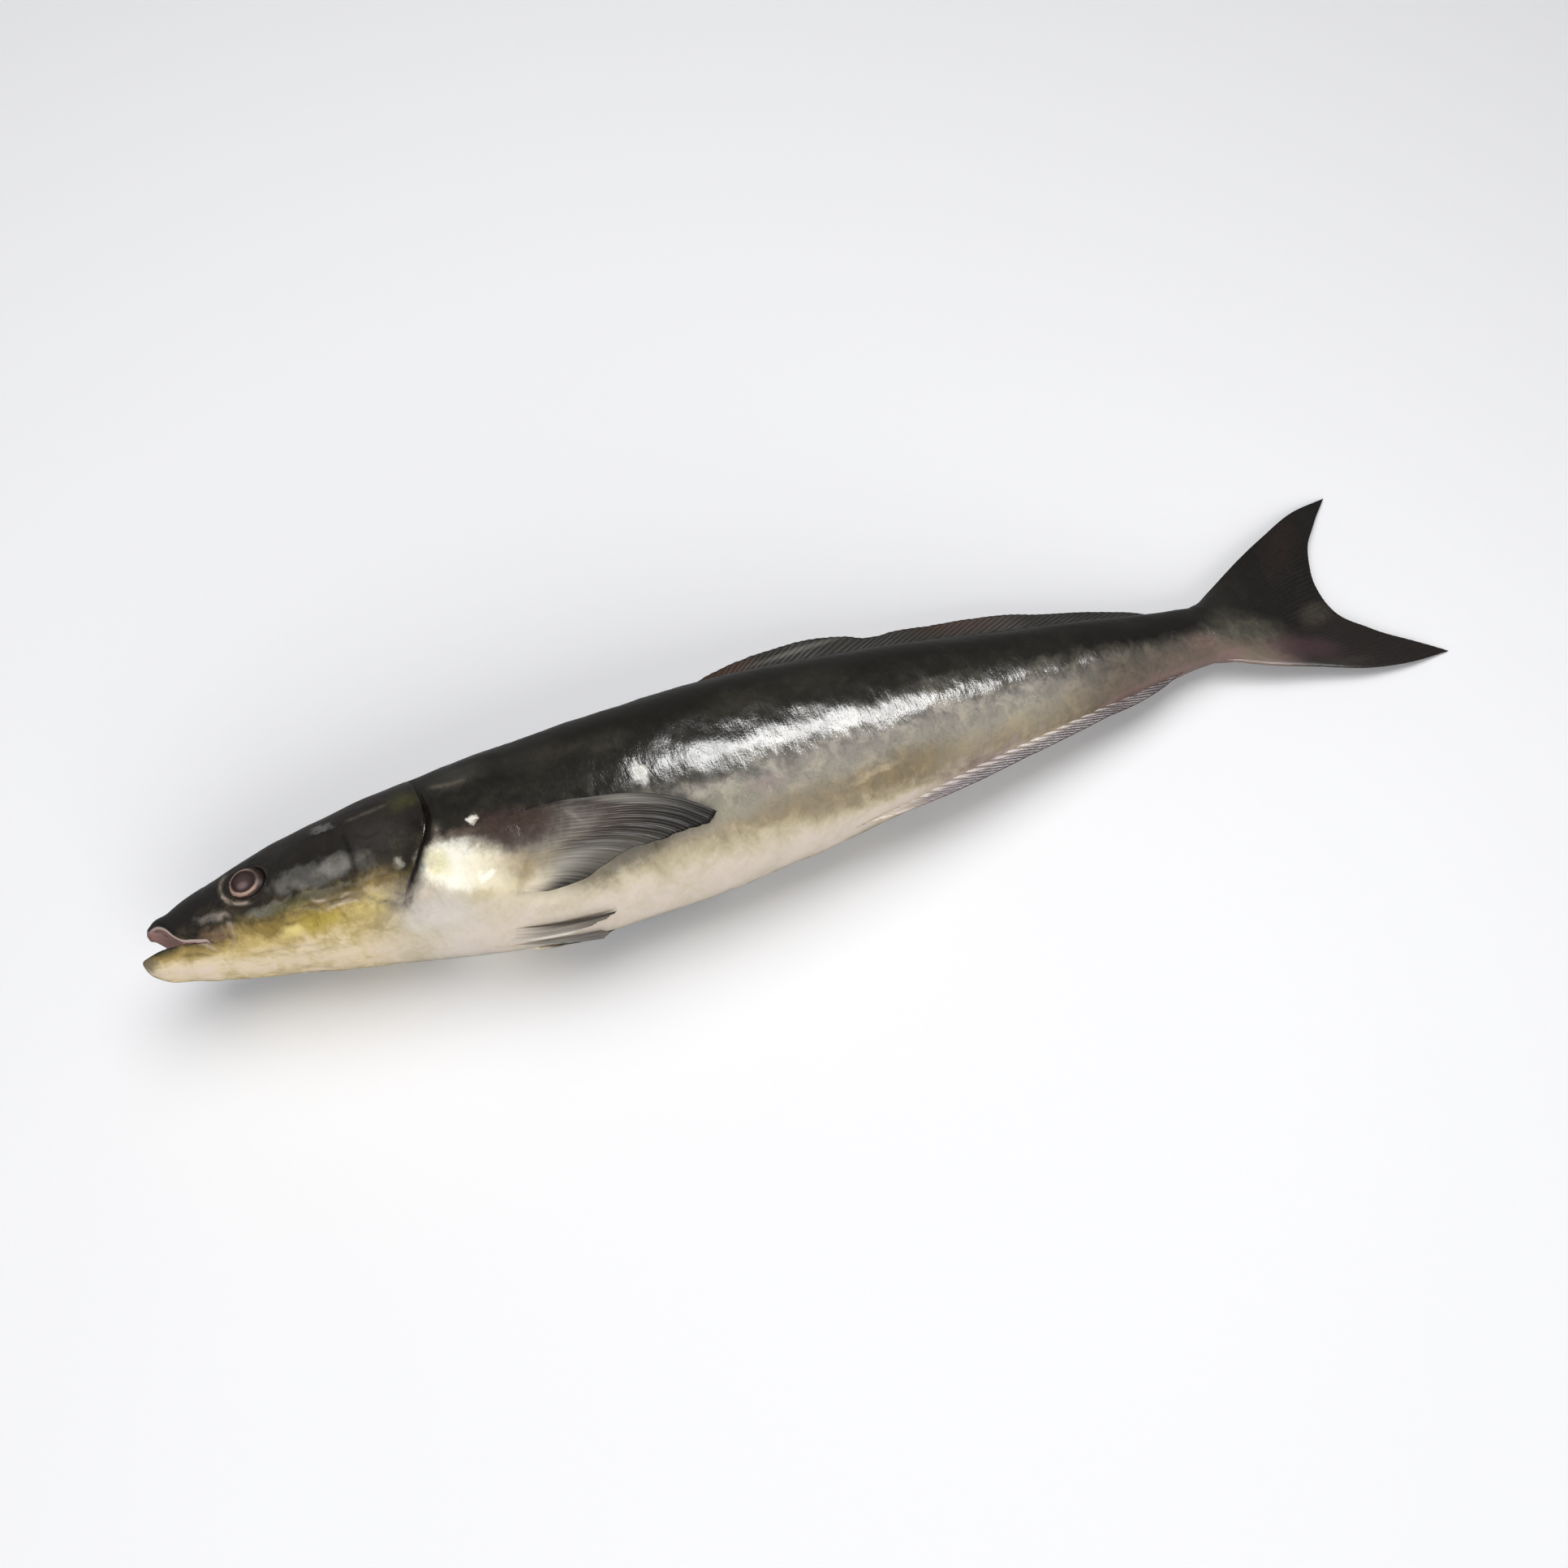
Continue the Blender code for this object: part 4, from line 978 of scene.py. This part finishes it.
def fin_material(name, web, ray, rays, patches=(), ridge_share=0.6, roughness=0.34,
                 specular=0.5, root=(0.15, 0.45), dark_share=0.6, lead=None, margin=None, tip=0.0):
    """Webbing and rays of a fin, with patches, growing out of the hide's colour at its root."""
    material, tree, shader = wet_material(name, roughness, specular)
    fish_place, grain = place_and_grain(tree, 12.0)
    along, across = read_value(tree, "along"), read_value(tree, "across")
    streak = use_group(tree, ray_group, Across=across, Along=along, Rays=float(rays), Length=2.5)
    shade = use_group(tree, hide_group, Place=fish_place, Zone=read_value(tree, "zone"),
                      Head=0.0)["Color"]
    free = span(tree, along, *root)
    if web:
        webbing = paint_patches(tree, colour(*web), fish_place, patches)
        shade = mix_colour(tree, free, shade, webbing)
    raised = times(tree, span(tree, read_value(tree, "ridge"), 0.55, 0.95),
                   span(tree, streak["Streaks"], 0.42, 0.60))
    raised = times(tree, times(tree, raised, ridge_share), free)
    shade = mix_colour(tree, raised, shade, colour(*ray))
    dark = times(tree, span(tree, streak["Flecks"], 0.55, 0.3), dark_share)
    shade = tinted(tree, shade, times(tree, dark, free), (0.50, 0.48, 0.46))
    shade = tinted(tree, shade, times(tree, span(tree, along, 0.55, 0.95), tip),
                   (0.28, 0.26, 0.25))
    for edge_shade, start, end in ((lead, 0.16, 0.04), (margin, 0.72, 0.95)):
        if edge_shade:
            edge = times(tree, span(tree, across, start, end), span(tree, along, 0.3, 0.75))
            shade = mix_colour(tree, edge, shade, colour(*edge_shade))
    tree.links.new(shade, shader["Base Color"])
    raise_surface(tree, shader, streak["Streaks"], 0.15)
    matt = span(tree, grain["Pores"], 0.3, 0.7, (roughness - 0.05, roughness + 0.05), "LINEAR")
    tree.links.new(matt, shader["Roughness"])
    return material


tail_finish = fin_material("tail_webbing", None, (52, 46, 41), 120, ridge_share=0.3,
                           roughness=0.19, root=(0.42, 0.75), dark_share=0.3)
t, v = fin_grid(84, TAIL_RAYS, 10, TAIL_START)
ridges = rising_ridges(v, t, TAIL_RAYS, 0.46, 0.3, 0.7)
fray = ragged_edge(v, TAIL_RAYS, 0.001, 0.003, 90, 7, 21)
rows = tail_sheet(t * (1 - fray * ease((t - 0.6) / 0.4)), v)
rows[..., 2] += 0.25 * wobble(rows, 22, 22) * ease((t - 0.3) / 0.4)
edge = (1 - (2 * v - 1) ** 8).clip(0, 1) ** 0.5
half = FIN_HALF_THICKNESS * (0.2 + 0.8 * edge) * (1.15 - 0.75 * t) * ease((t + 0.02) / 0.12)
blade("tail_fin", rows, half, ridges, tail_finish)

# Fins along the back and the belly
# Two long low fins on the middle line, the back one with a higher front lobe. Their soft rays
# lean back and are joined by thin webbing; both are dark, with rusty patches along the back.
DORSAL_HEIGHT = [(256, 0), (272, 11.5), (289, 16), (306, 18.2), (323, 19), (336, 18.6),
                 (346, 17.2), (356, 14.2), (372, 15.2), (387, 15.6), (421, 15), (453, 11.4),
                 (483, 7.8), (504, 3.2), (512, 0)]
ANAL_HEIGHT = [(316, 0), (336, 3.4), (356, 5.2), (380, 6.4), (410, 6.6), (450, 5.6), (490, 3.4),
               (506, 0)]
DORSAL_RAYS, ANAL_RAYS = 34, 26
FIN_SINK, FIN_LEAN, RAY_SWEEP = 3.5, 0.5, 26.0


def middle_fin(name, heights, profile, way, rays, material, seed):
    """Fin on the middle line, from under the skin to its frayed outer edge."""
    first, last = heights[0][0], heights[-1][0]
    share, q = fin_grid(34, rays, 9)
    tip = first + (last - first) * q
    root = tip - RAY_SWEEP * ease(q / 0.25)
    root = first + np.maximum(root - first, 0.35 * (tip - first))
    height = np.maximum(curve(heights, tip), 0.4) * (
        1 - ragged_edge(q, rays, 0.012, 0.008, 300, 9, seed))
    edge = np.stack([tip + FIN_LEAN * height, curve(profile, tip) + way * height], -1)
    sunk = np.stack([root, curve(profile, root) - way * FIN_SINK], -1)
    flat = sunk * (1 - share[..., None]) + edge * share[..., None]
    x, y = flat[..., 0], flat[..., 1]
    y = way * np.maximum(way * y, way * (curve(profile, x) - way * FIN_SINK))
    z = 0.35 * wobble(x[..., None] * (1, 0, 0), 16, seed + 1) * share
    blade(name, np.stack([x, y, z], -1), thinning(share, q, 0.7), ray_ridges(q, share, rays),
          material)


dorsal_finish = fin_material("back_fin_webbing", (36, 33, 27), (62, 57, 46), 90, [
    (290, 54, 14, 6, 5, 0.7, 0.7, (72, 44, 26)),
    (330, 55, 20, 1.4, 3, 0.7, 0.6, (120, 117, 106)),
    (412, 46, 22, 6, -12, 0.8, 0.7, (66, 40, 29)),
    (460, 38, 26, 6, -12, 0.8, 0.7, (34, 31, 27)),
], ridge_share=0.4, roughness=0.4, specular=0.35, root=(0.2, 0.5), dark_share=0.45)
middle_fin("dorsal_fin", DORSAL_HEIGHT, BACK, 1, DORSAL_RAYS, dorsal_finish, 31)
anal_finish = fin_material("belly_fin_webbing", (70, 55, 57), (94, 78, 76), 80, [
    (350, -50, 20, 5, 20, 0.7, 0.5, (104, 84, 84)),
    (322, -52, 24, 9, 15, 0.7, 0.95, (196, 180, 160)),
], ridge_share=0.3, roughness=0.3, root=(0.35, 0.72), dark_share=0.45)
middle_fin("anal_fin", ANAL_HEIGHT, BELLY, -1, ANAL_RAYS, anal_finish, 41)

# Spines in front of the back fin
# Eight short free spines of bone under dark skin, each folded back into the groove on the nape.
SPINE_COUNT, SPINE_START, SPINE_SPACING = 8, 142.0, 14.5
SPINE_LENGTH, SPINE_HEIGHT, SPINE_SINK, SPINE_THICKNESS = 11.0, 2.6, 2.0, 1.25
SPINE_RINGS, SPINE_SIDES = 22, 20

spine_finish = dark_skin("spine_skin", 0.4, 0.65, (42, 39, 33), (86, 82, 70))
for number in range(SPINE_COUNT):
    s, turn = np.linspace(0, 1, SPINE_RINGS)[:, None], full_turn(SPINE_SIDES)
    x = SPINE_START + SPINE_SPACING * number + SPINE_LENGTH * s
    thick = SPINE_THICKNESS * (1 - s) ** 0.7 + 0.06
    y = curve(BACK, x) - SPINE_SINK * (1 - s) + SPINE_HEIGHT * s ** 0.8
    rows = np.stack([x + 0.3 * thick * np.cos(turn), y + 0.6 * thick * np.cos(turn),
                     0.75 * thick * np.sin(turn)], -1)
    points, faces = join_grids([(rows, True)])
    ends = np.arange(len(points)).reshape(rows.shape[:2])[[0, -1]]
    faces = [*faces.tolist(), ends[0].tolist(), ends[1, ::-1].tolist()]
    mesh = build_mesh(f"back_spine_{number + 1}", points, faces, {})
    finish_piece(f"back_spine_{number + 1}", mesh, spine_finish)

# Pectoral fins
# A folded fan of some twenty rays on each flank behind the gill cover: reddish brown at its
# fleshy root, dark towards its tip, with pale webbing between the lower rays.
PECTORAL_ROOT = [(0, 148, -14), (1, 158, -42)]
PECTORAL_EDGE = [(0, 253, -39.5), (0.15, 249, -42.4), (0.32, 240, -43), (0.5, 226, -44),
                 (0.68, 211, -43.5), (0.82, 197, -46), (0.92, 186, -47.5), (1, 173, -46.5)]
PECTORAL_BULGE, PECTORAL_SINK, PECTORAL_LIFT, PECTORAL_RAYS = 11.5, 2.2, 5.8, 20
PECTORAL_PLEATS, PECTORAL_WAVES = 0.35, 0.4

pectoral_finish = fin_material("pectoral_webbing", (40, 36, 33), (170, 165, 156), 110, [
    (180, -20, 40, 12, -12, 0.7, 0.9, (56, 40, 35)),
    (190, -42, 28, 4.4, -2, 0.7, 0.8, (160, 156, 146)),
    (166, -42, 9, 5.5, -10, 0.8, 0.85, (204, 192, 168)),
    (238, -38, 19, 7, -20, 0.6, 0.95, (30, 27, 24)),
    (218, -25, 20, 2.0, -22, 0.8, 0.6, (140, 137, 130)),
], ridge_share=0.7, roughness=0.37, specular=0.35, root=(0.28, 0.70), dark_share=0.7, tip=0.9)
for side, name in ((1, "pectoral_left"), (-1, "pectoral_right")):
    r, q = fin_grid(76, PECTORAL_RAYS, 9)
    ridges = rising_ridges(q, r, PECTORAL_RAYS, 0.24, 0.3)
    reach = r * (1 - ragged_edge(q, PECTORAL_RAYS, 0.004, 0.006, 100, 7, 51) * r ** 3)
    root, edge = curve_point(PECTORAL_ROOT, q), curve_point(PECTORAL_EDGE, q)
    rows = root + (edge - root) * reach[..., None]
    rows[..., 1] += PECTORAL_BULGE * np.sqrt(r) * (1 - r ** 5) * (1 - q)
    lift = PECTORAL_LIFT * ease(r / 0.42) - PECTORAL_SINK
    lift = lift + PECTORAL_PLEATS * np.sin(math.pi * PECTORAL_RAYS * q) * ease((r - 0.28) / 0.3)
    lift = lift + PECTORAL_WAVES * wobble(rows, 18, 52) * ease((r - 0.2) / 0.3)
    rows[..., 2] = side * (flank(rows[..., 0], rows[..., 1]) + lift)
    blade(name, rows, thinning(r, q, 0.68), ridges, pectoral_finish, floor=0.2)

# Pelvic fins
# Two narrow fans of rays under the belly, dark along the leading ray and grey to white behind.
# The left one lies along the belly, and the right one stands out from it over the table.
PELVIC_ROOT, PELVIC_RAYS = 134.0, 7
PELVIC_REACH = [(0, 65), (0.35, 59), (0.7, 49), (1, 38)]
FAR_REACH = [(0, 57), (0.5, 58), (1, 53)]
PELVIC_ANGLES = (170.5, 180.0)
PELVIC_SINK, PELVIC_LIFT, PELVIC_PLEATS, FAR_SINK, FAR_SPREAD = 1.6, 3.6, 0.25, 2.5, 4.2

pelvic_finish = fin_material("pelvic_webbing", (150, 142, 132), (96, 88, 80), 40, [
    (192, -55, 10, 4, 0, 0.7, 0.7, (72, 64, 58)),
], ridge_share=0.6, root=(0.28, 0.62), dark_share=0.4, lead=(58, 50, 44), margin=(222, 214, 203))
far_pelvic_finish = fin_material("far_pelvic_webbing", (166, 162, 155), (86, 82, 78), 40,
                                 ridge_share=0.7, root=(0.3, 0.6), dark_share=0.5, tip=0.6)
r, q = fin_grid(50, PELVIC_RAYS, 10)
ridges = rising_ridges(q, r, PELVIC_RAYS, 0.2, 0.2)
fray = 1 - 0.015 * (1 - ray_ridges(q, 1.0, PELVIC_RAYS)) * r ** 3
half = thinning(r, q, 0.65)
x = PELVIC_ROOT + q * 4 + curve(PELVIC_REACH, q) * r * fray
rows = section_point(x, np.radians(PELVIC_ANGLES[0] + (PELVIC_ANGLES[1] - PELVIC_ANGLES[0]) * q))
outward = rows * (0, 1, 1)
outward /= np.linalg.norm(outward, axis=-1, keepdims=True)
lift = PELVIC_LIFT * ease(r / 0.65) - PELVIC_SINK
lift = lift + PELVIC_PLEATS * np.sin(math.pi * PELVIC_RAYS * q) * ease(r / 0.5)
blade("pelvic_left", rows + outward * lift[..., None], half, ridges, pelvic_finish)
x = PELVIC_ROOT + q * 4 + curve(FAR_REACH, q) * r * fray
y = curve(BELLY, x) + FAR_SINK * (1 - ease(r / 0.2)) - FAR_SPREAD * r * q
blade("pelvic_right", np.stack([x, y, -4.0 - 3 * r + 0 * q], -1), half, ridges, far_pelvic_finish)

# Floor, studio light and camera
# A plain pale table under four soft boxes. Two show only in the gloss: a long one over the back,
# which draws the bright band along the wet flank, and a wide weak one in front. The other two
# give the plain light from above and from the front, and show in no gloss.
TABLE_HALF = 4.0
mesh = bpy.data.meshes.new("floor")
mesh.from_pydata([(x * TABLE_HALF, y * TABLE_HALF, 0)
                  for x, y in ((-1, -1), (1, -1), (1, 1), (-1, 1))], [], [(0, 1, 2, 3)])
floor_piece = bpy.data.objects.new("floor", mesh)
bpy.context.scene.collection.objects.link(floor_piece)
table_finish, _, shader = wet_material("pale_table", roughness=0.6)
shader["Base Color"].default_value = (0.87, 0.87, 0.885, 1)
mesh.materials.append(table_finish)
floor_piece.visible_glossy = False


def soft_box(name, at, toward, size, power, in_gloss, spin=0.0):
    light = bpy.data.lights.new(name, "AREA")
    light.shape, light.size, light.size_y, light.energy = "RECTANGLE", *size, power
    box = bpy.data.objects.new(name, light)
    bpy.context.scene.collection.objects.link(box)
    box.location = at
    box.visible_glossy, box.visible_diffuse = in_gloss, not in_gloss
    box.rotation_euler = (Vector(toward) - Vector(at)).to_track_quat("-Z", "Y").to_euler()
    box.rotation_euler.rotate_axis("Z", math.radians(spin))


soft_box("band_light", (0.64, 0.18, 1.05), (0.64, 0.18, 0), (0.76, 0.24), 13, True, -26)
soft_box("main_light", (0, 0.35, 1.6), (0.08, 0, 0), (2.0, 1.6), 24, False)
soft_box("fill_light", (-0.3, -2.1, 1.2), (0.05, 0, 0), (2.2, 1.5), 42, False)
soft_box("fill_gloss", (-0.3, -1.9, 1.9), (0.05, 0, 0), (2.2, 1.5), 12, True)
world = bpy.data.worlds.new("studio")
bpy.context.scene.world = world
world.use_nodes = True
background = world.node_tree.nodes["Background"].inputs
background["Color"].default_value = (0.96, 0.98, 1.0, 1)
background["Strength"].default_value = 0.15
bpy.context.scene.view_settings.view_transform = "Standard"

CAMERA_ELEVATION, CAMERA_AZIMUTH, CAMERA_DISTANCE = 57, -21.8, 0.845
CAMERA_TARGET = Vector((0.0575, -0.0116, 0.0212))
lens = bpy.data.cameras.new("camera")
lens.lens, lens.sensor_width, lens.clip_start = 41.0, 36.0, 0.01
camera = bpy.data.objects.new("camera", lens)
bpy.context.scene.collection.objects.link(camera)
bpy.context.scene.camera = camera
rise, turn = math.radians(CAMERA_ELEVATION), math.radians(CAMERA_AZIMUTH)
away = Vector((math.sin(turn) * math.cos(rise), -math.cos(turn) * math.cos(rise), math.sin(rise)))
right = (-away).cross(Vector((0, 0, 1))).normalized()
look = Matrix((right, right.cross(-away), away)).transposed().to_4x4()
camera.matrix_world = Matrix.Translation(CAMERA_TARGET + away * CAMERA_DISTANCE) @ look
